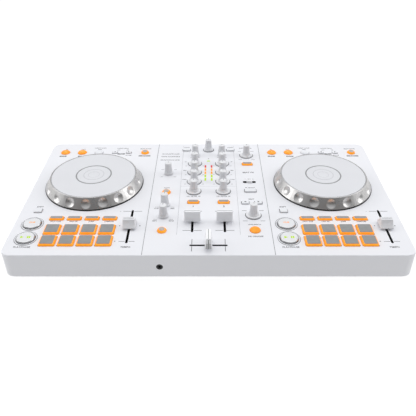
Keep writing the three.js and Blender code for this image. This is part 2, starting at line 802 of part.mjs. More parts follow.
for (const [name, sy] of [
  ["front_foot", -1],
  ["rear_foot", 1],
]) {
  addPiece(
    name,
    slab(0, 0, FOOT_LENGTH, FOOT_WIDTH, 0, FOOT_HEIGHT - SEAM, { radius: FOOT_WIDTH / 2 - 0.5 }),
    MATERIALS.rubber_black,
    0,
    sy * (BACK - FOOT_FROM_EDGE),
  );
}

// ---- Boards and sockets ----
const JACK_BOARD_TOP = BAY_FLOOR - WALL - SEAM + 4;
const JACK_BOARD_BACK = BAY_WALL_Y - WALL - SEAM;
const JACK_BOARD_DEPTH = MIC_LENGTH + 4;
const MAIN_BOARD_BACK = JACK_BOARD_BACK - JACK_BOARD_DEPTH - 4;
addPiece(
  "main_board",
  block(
    0,
    (FRONT + BOARD_FRONT_GAP + MAIN_BOARD_BACK) / 2,
    CASE_WIDTH - 2 * BOARD_SIDE_GAP,
    MAIN_BOARD_BACK - FRONT - BOARD_FRONT_GAP,
    BOARD_TOP - BOARD_THICKNESS,
    BOARD_TOP,
  ),
  MATERIALS.board_green,
);

// The sockets are soldered to a board of their own behind the bay.
function jackBoard() {
  const board = block(
    BAY_X,
    JACK_BOARD_BACK - JACK_BOARD_DEPTH / 2,
    BAY_WIDTH - 8,
    JACK_BOARD_DEPTH,
    JACK_BOARD_TOP - BOARD_THICKNESS,
    JACK_BOARD_TOP,
  );
  const body = (x, width, depth, z1) =>
    block(x, JACK_BOARD_BACK - depth / 2, width, depth, JACK_BOARD_TOP - 0.5, z1);
  const mic = [
    body(MIC_X, 16, MIC_LENGTH, OUTPUT_Z + 4.8),
    rod(MIC_X, OUTPUT_Z, MIC_BORE + MIC_NECK - SEAM, JACK_BOARD_BACK - 1, BAY_WALL_Y, ROUND_STEPS),
  ];
  const outputs = [
    body(OUTPUT_X, 2 * OUTPUT_PITCH, 11, OUTPUT_Z + 4.8),
    ...[-1, 1].map((s) =>
      rod(
        OUTPUT_X + (s * OUTPUT_PITCH) / 2,
        OUTPUT_Z,
        OUTPUT_BARREL_RADIUS,
        JACK_BOARD_BACK - 1,
        BACK - 1,
        ROUND_STEPS,
      ),
    ),
  ];
  const usb = USB_X.map((x) =>
    block(x, BAY_WALL_Y - 5, 9, 8, BAY_FLOOR + 5.9, BAY_FLOOR + 9.2),
  );
  const usbStands = USB_X.map((x) => body(x, 9, 6, BAY_FLOOR + 6.5));
  const bores = [
    rod(MIC_X, OUTPUT_Z, MIC_BORE, JACK_BOARD_BACK - MIC_LENGTH + 2, BACK, 12),
    ...[-1, 1].map((s) =>
      rod(OUTPUT_X + (s * OUTPUT_PITCH) / 2, OUTPUT_Z, 1.7, BAY_WALL_Y - 8, BACK, 8),
    ),
    ...USB_X.map((x) => block(x, BAY_WALL_Y, 8.2, 10, BAY_FLOOR + 6.4, BAY_FLOOR + 8.7)),
  ];
  return carve(join(board, ...mic, ...outputs, ...usb, ...usbStands), ...bores);
}
addPiece("rear_jack_board", jackBoard(), MATERIALS.socket_black);

function phonesSocket() {
  const inside = FRONT + WALL + SEAM;
  return carve(
    join(
      rod(0, PHONES_Z, PHONES_RADIUS, FRONT + 0.3, inside + 1, ROUND_STEPS),
      block(0, inside + 6, 9, 12, PHONES_Z - 4, PHONES_Z + 3.6),
    ),
    rod(0, PHONES_Z, PHONES_BORE, FRONT - 1, inside + 10, 10),
  );
}
addPiece("phones_socket", phonesSocket(), MATERIALS.socket_black, LEFT);

export default controller;
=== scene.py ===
"""A white two-deck DJ controller on a white floor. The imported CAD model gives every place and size.

Lengths are in millimetres here, in the CAD frame, and become metres as each mesh is made.
"""

import math

import bpy
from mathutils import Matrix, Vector


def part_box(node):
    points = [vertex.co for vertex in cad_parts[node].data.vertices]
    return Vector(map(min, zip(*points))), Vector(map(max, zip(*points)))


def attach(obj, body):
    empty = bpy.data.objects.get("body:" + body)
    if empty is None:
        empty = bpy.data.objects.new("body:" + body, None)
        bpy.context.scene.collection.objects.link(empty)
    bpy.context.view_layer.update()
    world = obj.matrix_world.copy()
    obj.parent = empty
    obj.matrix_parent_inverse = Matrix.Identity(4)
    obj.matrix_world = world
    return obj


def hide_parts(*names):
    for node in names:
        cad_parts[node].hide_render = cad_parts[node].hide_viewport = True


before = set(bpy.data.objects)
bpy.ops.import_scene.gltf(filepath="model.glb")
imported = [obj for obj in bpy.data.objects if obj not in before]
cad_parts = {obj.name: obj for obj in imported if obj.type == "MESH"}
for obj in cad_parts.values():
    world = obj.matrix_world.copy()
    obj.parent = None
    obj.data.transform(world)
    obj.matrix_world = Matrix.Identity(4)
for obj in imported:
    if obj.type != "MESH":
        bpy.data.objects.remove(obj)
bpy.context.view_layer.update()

MM = 0.001


# ---- Places taken from the CAD model ----
def box(node):
    low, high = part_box(node)
    return [v / MM for v in low], [v / MM for v in high]


def middle(node):
    low, high = box(node)
    return (low[0] + high[0]) / 2, (low[1] + high[1]) / 2


CASE_LOW, CASE_HIGH = box("upper_case")
TRAY_TOP = CASE_LOW[2]
PANEL = TRAY_TOP + 32.1  # the panel's top surface
WIDTH = CASE_HIGH[0] - CASE_LOW[0]
DEPTH = CASE_HIGH[1] - CASE_LOW[1]
FRONT = CASE_LOW[1]
BACK = CASE_HIGH[1]
WALL = 2.5
CORNER = 12
DEEP = -5  # how far down a key's body is made, from the panel
CLEARANCE = 0.35  # round a key in its hole
LIT_GAP = 0.35  # what a lit rectangular key's width and depth lack besides
INK = 0.04  # printed marks stand this far off the panel

DECKS = ("left", "right")
PAD_SIZE = 19.3
PAD_PITCH = 22.25
DIVIDER_X = 77
STRIP_X = 38.5
OUTER_X = 57
FADER_SLOT_Y = -68
LEGEND_REACH = 0.02  # how far printed marks go down into the panel
TRANSPORT_RADIUS = 11.2
DOME_RADIUS = 6.6
DOME_PROUD = 2.2
PLAIN_PROUD = 1.8
SHAFT_HOLE = 3.65


# ---- Materials ----
def set_inputs(node, **values):
    """Sets a node's inputs. The input called From Min is from_min here."""
    for key, value in values.items():
        node.inputs[key.replace("_", " ").title()].default_value = value


def material(name, color, roughness, metallic=0.0, **inputs):
    made = bpy.data.materials.new(name)
    made.use_nodes = True
    shader = made.node_tree.nodes["Principled BSDF"]
    set_inputs(shader, base_color=(*color, 1), roughness=roughness, metallic=metallic, **inputs)
    return made


def noise(made, scale, detail=2.0):
    nodes, links = made.node_tree.nodes, made.node_tree.links
    place = nodes.new("ShaderNodeTexCoord")
    texture = nodes.new("ShaderNodeTexNoise")
    set_inputs(texture, scale=scale, detail=detail)
    links.new(place.outputs["Object"], texture.inputs["Vector"])
    return texture.outputs["Fac"]


def grain(made, scale, strength, depth=0.02):
    """A fine moulded texture, with features about 1000 / scale mm across and depth mm deep."""
    nodes, links = made.node_tree.nodes, made.node_tree.links
    bump = nodes.new("ShaderNodeBump")
    set_inputs(bump, strength=strength, distance=depth * MM)
    links.new(noise(made, scale), bump.inputs["Height"])
    links.new(bump.outputs["Normal"], nodes["Principled BSDF"].inputs["Normal"])
    return made


def mottle(made, other, scale):
    """Lets the colour drift between the material's own and another one."""
    nodes, links = made.node_tree.nodes, made.node_tree.links
    shader = nodes["Principled BSDF"]
    ramp = nodes.new("ShaderNodeValToRGB")
    ramp.color_ramp.elements[0].position = 0.35
    ramp.color_ramp.elements[1].position = 0.65
    ramp.color_ramp.elements[0].color = shader.inputs["Base Color"].default_value
    ramp.color_ramp.elements[1].color = (*other, 1)
    links.new(noise(made, scale, 3.0), ramp.inputs["Fac"])
    links.new(ramp.outputs["Color"], shader.inputs["Base Color"])
    return made


def handled(made, least, most, scale):
    """Lets the roughness drift, as on a surface that hands touch."""
    nodes, links = made.node_tree.nodes, made.node_tree.links
    spread = nodes.new("ShaderNodeMapRange")
    set_inputs(spread, from_min=0.3, from_max=0.7, to_min=least, to_max=most)
    links.new(noise(made, scale, 4.0), spread.inputs["Value"])
    links.new(spread.outputs["Result"], nodes["Principled BSDF"].inputs["Roughness"])
    return made


def plastic(name, color, roughness, other, patches, fine, strength, depth=0.02):
    """A moulded plastic: its colour drifts in patches, under a fine texture."""
    return grain(mottle(material(name, color, roughness), other, patches), fine, strength, depth)


CASE = material("case_plastic", (0.835, 0.84, 0.87), 0.5)
grain(handled(mottle(CASE, (0.82, 0.825, 0.855), 9), 0.44, 0.54, 30), 1900, 0.25)
TRAY = plastic("tray_plastic", (0.74, 0.75, 0.78), 0.55, (0.71, 0.72, 0.75), 12, 900, 0.5)
KEY = plastic("key_plastic", (0.82, 0.83, 0.85), 0.34, (0.80, 0.81, 0.84), 60, 2600, 0.12)
KNOB = plastic("knob_rubber", (0.76, 0.765, 0.785), 0.62, (0.73, 0.735, 0.755), 120, 3200, 0.35)
KNOB_TOP = plastic("knob_cap", (0.79, 0.795, 0.81), 0.42, (0.76, 0.765, 0.78), 150, 2400, 0.15)
KNOB_FOOT = plastic("knob_foot", (0.85, 0.855, 0.87), 0.42, (0.82, 0.825, 0.84), 150, 2400, 0.15)
CAP = plastic("slider_cap", (0.88, 0.885, 0.905), 0.45, (0.855, 0.86, 0.88), 90, 2600, 0.25)
# Whiter than the cap: a painted highlight on the crossfader's top.
CAP_HIGHLIGHT = plastic("painted_slider_highlight", (0.96, 0.96, 0.96), 0.4, (0.94, 0.94, 0.94), 150, 2600, 0.1)
FADER = plastic("fader_plastic", (0.80, 0.805, 0.825), 0.45, (0.775, 0.78, 0.80), 90, 2600, 0.25)
SILVER = handled(material("silver_plating", (0.60, 0.59, 0.58), 0.3, 1.0), 0.26, 0.33, 140)
CHROME = handled(material("chrome", (0.45, 0.45, 0.455), 0.16, 1.0), 0.12, 0.2, 300)
PLATE = plastic("touch_plate", (0.725, 0.73, 0.755), 0.32, (0.71, 0.715, 0.74), 25, 3000, 0.08)
PLATE_LINE = plastic("plate_line", (0.30, 0.305, 0.31), 0.45, (0.26, 0.265, 0.27), 200, 2500, 0.1)
# Black plastic, also used as painted shade under the jog rings and in the screws' recesses.
BLACK_AND_SHADE = plastic("black_plastic_and_painted_shade", (0.012, 0.012, 0.013), 0.5, (0.02, 0.02, 0.021), 150, 1500, 0.3)
# Near-black: painted shade inside the slots and inside the sockets' holes.
HOLE_SHADE = plastic("painted_hole_shade", (0.008, 0.008, 0.008), 0.95, (0.016, 0.016, 0.016), 900, 2600, 0.9, 0.1)
PAD_TOP = plastic("pad_silicone", (0.30, 0.302, 0.30), 0.72, (0.27, 0.272, 0.27), 160, 1700, 0.5)
MODE_TOP = plastic("mode_key_top", (0.36, 0.345, 0.34), 0.6, (0.33, 0.315, 0.31), 200, 1900, 0.4)
LIT_TOP = plastic("lit_key_top", (0.50, 0.47, 0.44), 0.5, (0.46, 0.42, 0.38), 260, 1900, 0.3)
# Near-black: painted shade on the walls of the case's openings, in the gaps round the keys and inside the
# holes.
GAP_SHADE = plastic("painted_gap_shade", (0.05, 0.05, 0.053), 0.8, (0.07, 0.07, 0.073), 300, 1500, 0.3)
PLATE_SHADE = plastic("plate_shade", (0.56, 0.565, 0.59), 0.4, (0.53, 0.535, 0.56), 120, 2800, 0.1)
GROOVE = plastic("groove_shade", (0.16, 0.165, 0.17), 0.8, (0.2, 0.205, 0.21), 300, 1500, 0.3)
CAP_END = plastic("cap_end", (0.54, 0.54, 0.55), 0.5, (0.49, 0.49, 0.50), 200, 1800, 0.25)
# Near-black print, also used for painted shade round the wide knobs' feet.
INK_AND_SHADE_GREY = mottle(material("printed_and_painted_shade_grey", (0.07, 0.07, 0.074), 0.6), (0.10, 0.10, 0.104), 1500)
INK_PALE = mottle(material("printed_pale_grey", (0.34, 0.345, 0.36), 0.6), (0.38, 0.385, 0.40), 1500)
RUBBER = plastic("foot_rubber", (0.02, 0.02, 0.021), 0.9, (0.035, 0.035, 0.035), 200, 1200, 0.8, 0.05)
BOARD = plastic("circuit_board", (0.015, 0.11, 0.045), 0.4, (0.02, 0.16, 0.06), 260, 700, 0.4)
METAL = handled(material("socket_metal", (0.55, 0.55, 0.56), 0.3, 1.0), 0.22, 0.4, 400)
STEEL = handled(material("screw_steel", (0.2, 0.2, 0.21), 0.4, 1.0), 0.3, 0.5, 500)


def glowing(name, color, other, light, strength, scale=220):
    made = material(name, color, 0.4, emission_color=(*light, 1), emission_strength=strength)
    made.node_tree.nodes["Principled BSDF"].inputs["Specular IOR Level"].default_value = 0.25
    return grain(mottle(made, other, scale), 2200, 0.15)


ORANGE = glowing("lit_orange", (0.95, 0.36, 0.035), (0.9, 0.27, 0.015), (1.0, 0.37, 0.02), 0.40)
ORANGE_DOME = glowing(
    "lit_orange_dome", (0.88, 0.25, 0.012), (0.95, 0.38, 0.05), (1.0, 0.32, 0.012), 0.26, 160
)
GREEN_LED = glowing("lit_green", (0.30, 0.46, 0.002), (0.27, 0.42, 0.002), (0.44, 0.64, 0.0), 0.55)
ORANGE_LED = glowing("lit_amber", (0.75, 0.30, 0.03), (0.7, 0.26, 0.02), (0.9, 0.36, 0.05), 0.45)
RED_LED = glowing("lit_red", (0.50, 0.03, 0.035), (0.44, 0.02, 0.025), (0.6, 0.03, 0.04), 0.4)
LETTER_PALE = glowing("dome_letters", (0.95, 0.55, 0.25), (0.9, 0.5, 0.22), (1.0, 0.5, 0.2), 0.3, 600)
RED_SLEEVE = plastic("socket_red", (0.55, 0.02, 0.02), 0.4, (0.48, 0.015, 0.015), 300, 1800, 0.2)
WHITE_SLEEVE = plastic("socket_white", (0.75, 0.75, 0.74), 0.4, (0.7, 0.7, 0.69), 300, 1800, 0.2)


# ---- Shapes: each is a list of points and a list of faces ----
def ring_points(x, y, width, depth, radius, steps=7):
    """A rounded rectangle, anticlockwise from above."""
    radius = max(radius, 0.02)
    points = []
    for corner, (sx, sy) in enumerate(((1, -1), (1, 1), (-1, 1), (-1, -1))):
        cx = x + sx * (width / 2 - radius)
        cy = y + sy * (depth / 2 - radius)
        for i in range(steps + 1):
            a = math.radians(90 * (corner - 1) + 90 * i / steps)
            points.append((cx + radius * math.cos(a), cy + radius * math.sin(a)))
    return points


def loft(rings, bottom=True, top=True):
    """Joins rings of points, from the lowest to the highest."""
    size = len(rings[0])
    points = [p for ring in rings for p in ring]
    faces = []
    for k in range(len(rings) - 1):
        for i in range(size):
            j = (i + 1) % size
            faces.append([k * size + i, k * size + j, (k + 1) * size + j, (k + 1) * size + i])
    if bottom:
        faces.append(list(range(size))[::-1])
    if top:
        faces.append([(len(rings) - 1) * size + i for i in range(size)])
    return points, faces


def slab(x, y, width, depth, z0, z1, radius=1.0, edge=0.4, lean=0.0, steps=7, arc=4):
    """A rounded block. Its top is smaller by lean on every side, and its top edge is rounded."""
    rings = []

    def add(inset, z):
        points = ring_points(
            x, y, width - 2 * inset, depth - 2 * inset, max(radius - inset * 0.6, 0.05), steps
        )
        rings.append([(px, py, z) for px, py in points])

    add(0, z0)
    if edge:
        for i in range(arc + 1):
            a = math.pi / 2 * i / arc
            add(lean + edge * (1 - math.cos(a)), z1 - edge * (1 - math.sin(a)))
    else:
        add(lean, z1)
    return loft(rings)


def block(x0, x1, y0, y1, z0, z1):
    points = [(x, y, z) for z in (z0, z1) for x, y in ((x0, y0), (x1, y0), (x1, y1), (x0, y1))]
    return points, [[3, 2, 1, 0], [4, 5, 6, 7]] + [
        [i, (i + 1) % 4, 4 + (i + 1) % 4, 4 + i] for i in range(4)
    ]


def centred(x, y, width, depth, z0, z1):
    """A block with its middle at (x, y)."""
    return block(x - width / 2, x + width / 2, y - depth / 2, y + depth / 2, z0, z1)


def prism(outline, z0, z1):
    return loft([[(x, y, z) for x, y in outline] for z in (z0, z1)])


def rounded(profile, radii, steps=4):
    """The profile with its corners rounded. radii gives each point's radius, by its index."""
    out = []
    for i, (r, z) in enumerate(profile):
        radius = radii.get(i, 0)
        if not radius:
            out.append((r, z))
            continue
        before, after = profile[i - 1], profile[i + 1]
        u = (before[0] - r, before[1] - z)
        v = (after[0] - r, after[1] - z)
        lu, lv = math.hypot(*u), math.hypot(*v)
        u = (u[0] / lu, u[1] / lu)
        v = (v[0] / lv, v[1] / lv)
        half = math.acos(max(-1, min(1, u[0] * v[0] + u[1] * v[1]))) / 2
        cut = min(radius / math.tan(half), lu * 0.49, lv * 0.49)
        start = (r + u[0] * cut, z + u[1] * cut)
        end = (r + v[0] * cut, z + v[1] * cut)
        for k in range(steps + 1):
            t = k / steps
            a, b, c = (1 - t) ** 2, 2 * t * (1 - t), t * t
            out.append(
                (a * start[0] + b * r + c * end[0], a * start[1] + b * z + c * end[1])
            )
    return out


def lathe(profile, x=0.0, y=0.0, steps=48, closed=False, start=0.0):
    """Turns a profile of (radius, height) about a vertical axis. A closed profile makes a ring."""
    points = []
    starts = []
    for r, z in profile:
        starts.append(len(points))
        if r < 1e-6:
            points.append((x, y, z))
            continue
        for j in range(steps):
            a = start + 2 * math.pi * j / steps
            points.append((x + r * math.cos(a), y + r * math.sin(a), z))
    faces = []
    pairs = list(zip(range(len(profile)), range(1, len(profile))))
    if closed:
        pairs.append((len(profile) - 1, 0))
    for k, m in pairs:
        low, high = profile[k][0] < 1e-6, profile[m][0] < 1e-6
        for j in range(steps):
            n = (j + 1) % steps
            a, b = starts[k] + (0 if low else j), starts[k] + (0 if low else n)
            c, d = starts[m] + (0 if high else n), starts[m] + (0 if high else j)
            faces.append([i for i, p in zip((a, b, c, d), (0, low, high, 0)) if not p])
    return points, faces


def rod(r, z0, z1):
    """The profile of a plain rod."""
    return [(0, z0), (r, z0), (r, z1), (0, z1)]


def fluted(profile, x, y, flutes, depth, low, high):
    """A turned shape whose radius has flutes between two heights."""
    steps = flutes * 4
    points, faces = lathe(profile, 0, 0, steps)
    out = []
    for px, py, z in points:
        fade = min(1, max(0, (z - low) / 1.2), max(0, (high - z) / 1.2))
        r = math.hypot(px, py)
        if r > 1e-6 and fade > 0:
            cut = depth * fade * (0.5 - 0.5 * math.cos(flutes * math.atan2(py, px)))
            px, py = px * (1 - cut / r), py * (1 - cut / r)
        out.append((x + px, y + py, z))
    return out, faces


def towards_back(shape, x, y, z):
    """Lays an upright shape down, so that its top faces the back, at (x, y, z)."""
    points, faces = shape
    return [(x + px, y + pz, z - py) for px, py, pz in points], faces


def towards_front(shape, x, y, z):
    """Lays an upright shape down, so that its top faces the front, at (x, y, z)."""
    points, faces = shape
    return [(x + px, y - pz, z + py) for px, py, pz in points], faces


def lettering(words, x, y, size, z=PANEL):
    """Thin solid letters, standing on z."""
    curve = bpy.data.curves.new("lettering", "FONT")
    curve.body = words
    curve.size = size
    curve.align_x = "CENTER"
    curve.align_y = "CENTER"
    curve.extrude = INK / 2
    curve.offset = size * 0.022
    curve.resolution_u = 2
    holder = bpy.data.objects.new("lettering", curve)
    mesh = bpy.data.meshes.new_from_object(holder)
    points = [(v.co.x + x, v.co.y + y, v.co.z + z + INK / 2) for v in mesh.vertices]
    faces = [list(p.vertices) for p in mesh.polygons]
    bpy.data.objects.remove(holder)
    bpy.data.curves.remove(curve)
    bpy.data.meshes.remove(mesh)
    return points, faces


class Piece:
    """Collects shapes, each with its material, into one object that rides on a CAD body."""

    def __init__(self, name):
        self.name = name
        self.points = []
        self.faces = []
        self.indices = []
        self.materials = []

    def add(self, shape, look):
        points, faces = shape
        start = len(self.points)
        self.points += points
        self.faces += [[start + i for i in face] for face in faces]
        if look not in self.materials:
            self.materials.append(look)
        self.indices += [self.materials.index(look)] * len(faces)
        return self

    def turn(self, look, profile, x, y, z, radii=None, steps=48, closed=False):
        """Adds a turned shape, from a profile of (radius, height above z)."""
        profile = rounded([(r, z + height) for r, height in profile], radii or {})
        return self.add(lathe(profile, x, y, steps, closed), look)

    def mesh_object(self, centre=(0, 0)):
        mesh = bpy.data.meshes.new(self.name)
        cx, cy = centre
        mesh.from_pydata(
            [((x - cx) * MM, (y - cy) * MM, z * MM) for x, y, z in self.points], [], self.faces
        )
        for look in self.materials:
            mesh.materials.append(look)
        mesh.polygons.foreach_set("material_index", self.indices)
        made = bpy.data.objects.new(self.name, mesh)
        made.location = (cx * MM, cy * MM, 0)
        bpy.context.scene.collection.objects.link(made)
        return made

    def make(self, body, sharp=32, replaced=(), centre=(0, 0)):
        """Adds the piece to the scene, on its body and in the place of the replaced nodes."""
        settle(self.mesh_object(centre), body, sharp, replaced)

    def stand_in(self, node, sharp=32):
        """Adds the piece in the place of a CAD node that moves by itself."""
        self.make(node, sharp, [node])


def settle(made, body, sharp, replaced=()):
    """Smooths an object's faces up to the sharp angle, and lets it ride on its body."""
    made.data.shade_smooth()
    made.data.set_sharp_from_angle(angle=math.radians(sharp))
    weighted = made.modifiers.new("weighted_normals", "WEIGHTED_NORMAL")
    weighted.keep_sharp = True
    weighted.weight = 100
    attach(made, body)
    if replaced:
        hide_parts(*replaced)


# ---- Where the keys are, in the CAD model ----
def row(centre, count, pitch):
    return [centre + (i - (count - 1) / 2) * pitch for i in range(count)]


RECTANGLES = []  # (x, y, width, depth, corner radius) of each hole for a rectangular key
ROUNDS = []  # (x, y, radius) of each round hole
SLOTS = []  # (x, y, width, depth) of each slider's slot


# ---- Keys ----
def lit_rectangle(piece, x, y, width, depth, proud, top_width, top_depth, top):
    """A lit key: a glowing frame that slopes gently up to a plain top."""
    RECTANGLES.append((x, y, width, depth, 1.6))
    width, depth = width - LIT_GAP, depth - LIT_GAP
    lean_x = (width - top_width) / 2
    lean_y = (depth - top_depth) / 2
    # How far up the slope, and the height there as a share of the key's own.
    levels = ((0, -5), (0, 0.1), (0.07, 0.46), (0.18, 0.58), (0.36, 0.68), (0.94, 0.88), (1.06, 0.84))
    rings = []
    for share, level in levels:
        points = ring_points(x, y, width - 2 * lean_x * share, depth - 2 * lean_y * share, 1.8)
        rings.append([(px, py, PANEL + proud * level) for px, py in points])
    piece.add(loft(rings), ORANGE)
    z0, z1 = PANEL + proud * 0.5, PANEL + proud
    piece.add(slab(x, y, top_width + 0.1, top_depth + 0.1, z0, z1, 1.4, 0.3), top)


def plain_rectangle(piece, x, y, width, depth, proud=PLAIN_PROUD):
    RECTANGLES.append((x, y, width, depth, 1.2))
    piece.add(slab(x, y, width, depth, PANEL + DEEP, PANEL + proud, 1.2, 0.55, 0.35), KEY)


def dome(piece, x, y, look):
    """A round key with a soft dome and a shallow ring pressed into it."""
    r = DOME_RADIUS
    ROUNDS.append((x, y, r))
    side = [(0, DEEP), (r, DEEP), (r, 0.77), (r - 1.1, 1.892)]
    top = [(r * 0.52, DOME_PROUD), (r * 0.44, DOME_PROUD - 0.25), (0, DOME_PROUD - 0.15)]
    piece.turn(look, side + top, x, y, PANEL, {2: 0.8, 3: 0.9, 4: 0.3})


def lit_round_button(name, node, r):
    """A piece with one round lit key: a glowing shoulder round a plain dished top."""
    x, y = middle(node)
    ROUNDS.append((x, y, r))
    button = Piece(name)
    side = [(0, DEEP), (r, DEEP), (r, 1.35), (r - 1.5, 2.9), (r - 1.7, 2.5), (0, 2.5)]
    button.turn(ORANGE, side, x, y, PANEL, {2: 0.7, 3: 0.3})
    top = [(0, 2.4), (r - 1.95, 2.4), (r - 1.95, 3), (r - 2.9, 2.88), (0, 2.7)]
    button.turn(LIT_TOP, top, x, y, PANEL, {2: 0.25})
    button.stand_in(node, 40)


def plain_button(name, node, width, depth):
    """A piece with one plain key."""
    x, y = middle(node)
    button = Piece(name)
    plain_rectangle(button, x, y, width, depth)
    button.stand_in(node)
    return x, y


def cue_button(name, node):
    """A piece with one small lit key."""
    x, y = middle(node)
    button = Piece(name)
    lit_rectangle(button, x, y, 15.4, 7.6, 2.6, 12.6, 4.5, MODE_TOP)
    button.stand_in(node)
    return x, y


def arrow_buttons(name, node, pitch, width, depth, proud, size):
    """A piece with two plain keys side by side, and an arrow on each."""
    middle_x, y = middle(node)
    buttons = Piece(name)
    for turn, x in zip((-1, 1), row(middle_x, 2, pitch)):
        plain_rectangle(buttons, x, y, width, depth, proud)
        buttons.add(arrow(x, y, size, turn, PANEL + proud), INK_AND_SHADE_GREY)
    buttons.stand_in(node)
    return middle_x, y


def transport_key(name, side, marks):
    """Cue or play: a thin chrome rim round a white face, with marks(x, y, z) on it."""
    node = f"{name}_key_{side}"
    x, y = middle(node)
    r = TRANSPORT_RADIUS
    ROUNDS.append((x, y, r))
    key = Piece(f"{name}_button_{side}")
    rim = [(0, DEEP), (r, DEEP), (r, 1.6), (r - 0.4, 2.28), (r - 0.8, 2.4), (r - 1.05, 1.95), (0, 1.5)]
    key.turn(CHROME, rim, x, y, PANEL, {2: 0.3, 3: 0.2}, 64)
    face = [(0, 1.2), (r - 0.95, 1.2), (r - 0.95, 2.15), (r - 2.2, 2.04), (0, 2)]
    key.turn(KNOB_TOP, face, x, y, PANEL, {2: 0.12, 3: 0.6}, 64)
    for shape, look in marks(x, y, PANEL + 2.03):
        key.add(shape, look)
    key.stand_in(node, 40)


def cue_marks(x, y, z):
    return [(lettering("CUE", x, y + 0.8, 3.8, z), ORANGE_DOME)]


def play_marks(x, y, z):
    play = [(x - 6.0, y - 2.2), (x - 1.7, y), (x - 6.0, y + 2.2)]
    shapes = [(prism(play, z, z + INK), GREEN_LED)]
    for offset in (1.9, 4.2):
        shapes.append((block(x + offset, x + offset + 1.7, y - 2, y + 2, z, z + INK), GREEN_LED))
    return shapes


def arrow(x, y, size, turn, z):
    """A small triangle: turn is 1 for right and -1 for left."""
    tip = (x + turn * size * 0.6, y)
    back, half = x - turn * size * 0.4, turn * size * 0.55
    return prism([tip, (back, y + half), (back, y - half)], z, z + INK)


# ---- Jog wheels ----
COLLARS = Piece("jog_collars")
RING_PITCHES = 18
CELL_SIDE = 8  # facets along each side of the square round a dimple


def dimpled_side(x, y, low, high, dimple, depth):
    """The ring's slanted side, from (radius, z) low to high, with a dish pressed in at each pitch."""
    slope = math.hypot(high[0] - low[0], high[1] - low[1])
    mid = (low[0] + high[0]) / 2
    wide = math.pi / RING_PITCHES * mid
    tall = slope / 2
    normal = (-(high[1] - low[1]) / slope, (high[0] - low[0]) / slope)  # into the ring
    around = 4 * CELL_SIDE

    def border(i):
        side, step = divmod(i + CELL_SIDE // 2, CELL_SIDE)
        t = 2 * step / CELL_SIDE - 1
        return ((wide, t * tall), (-t * wide, tall), (-wide, -t * tall), (t * wide, -tall))[side % 4]

    shares = (1.1, 1.0, 0.95, 0.88, 0.76, 0.6, 0.42, 0.22)  # of the dish's radius
    points, faces = [], []

    def place(turn, s, t, sink):
        a = turn + s / mid
        share = (t + tall) / (2 * tall)
        r = low[0] + (high[0] - low[0]) * share + normal[0] * sink
        z = low[1] + (high[1] - low[1]) * share + normal[1] * sink
        points.append((x + r * math.cos(a), y + r * math.sin(a), z))

    for pitch in range(RING_PITCHES):
        turn = -math.pi / 2 + 2 * math.pi * pitch / RING_PITCHES
        start = len(points)
        for i in range(around):
            place(turn, *border(i), 0)
        for share in shares:
            for i in range(around):
                a = 2 * math.pi * i / around
                sink = 0 if share >= 1 else depth * (1 - share**2) ** 1.25
                place(turn, dimple * share * math.cos(a), dimple * share * math.sin(a), sink)
        place(turn, 0, 0, depth)
        for k in range(len(shares)):
            for i in range(around):
                j = (i + 1) % around
                a, b = start + k * around, start + (k + 1) * around
                faces.append([a + i, a + j, b + j, b + i])
        last = start + len(shares) * around
        for i in range(around):
            faces.append([last + i, last + (i + 1) % around, last + around])
    return points, faces


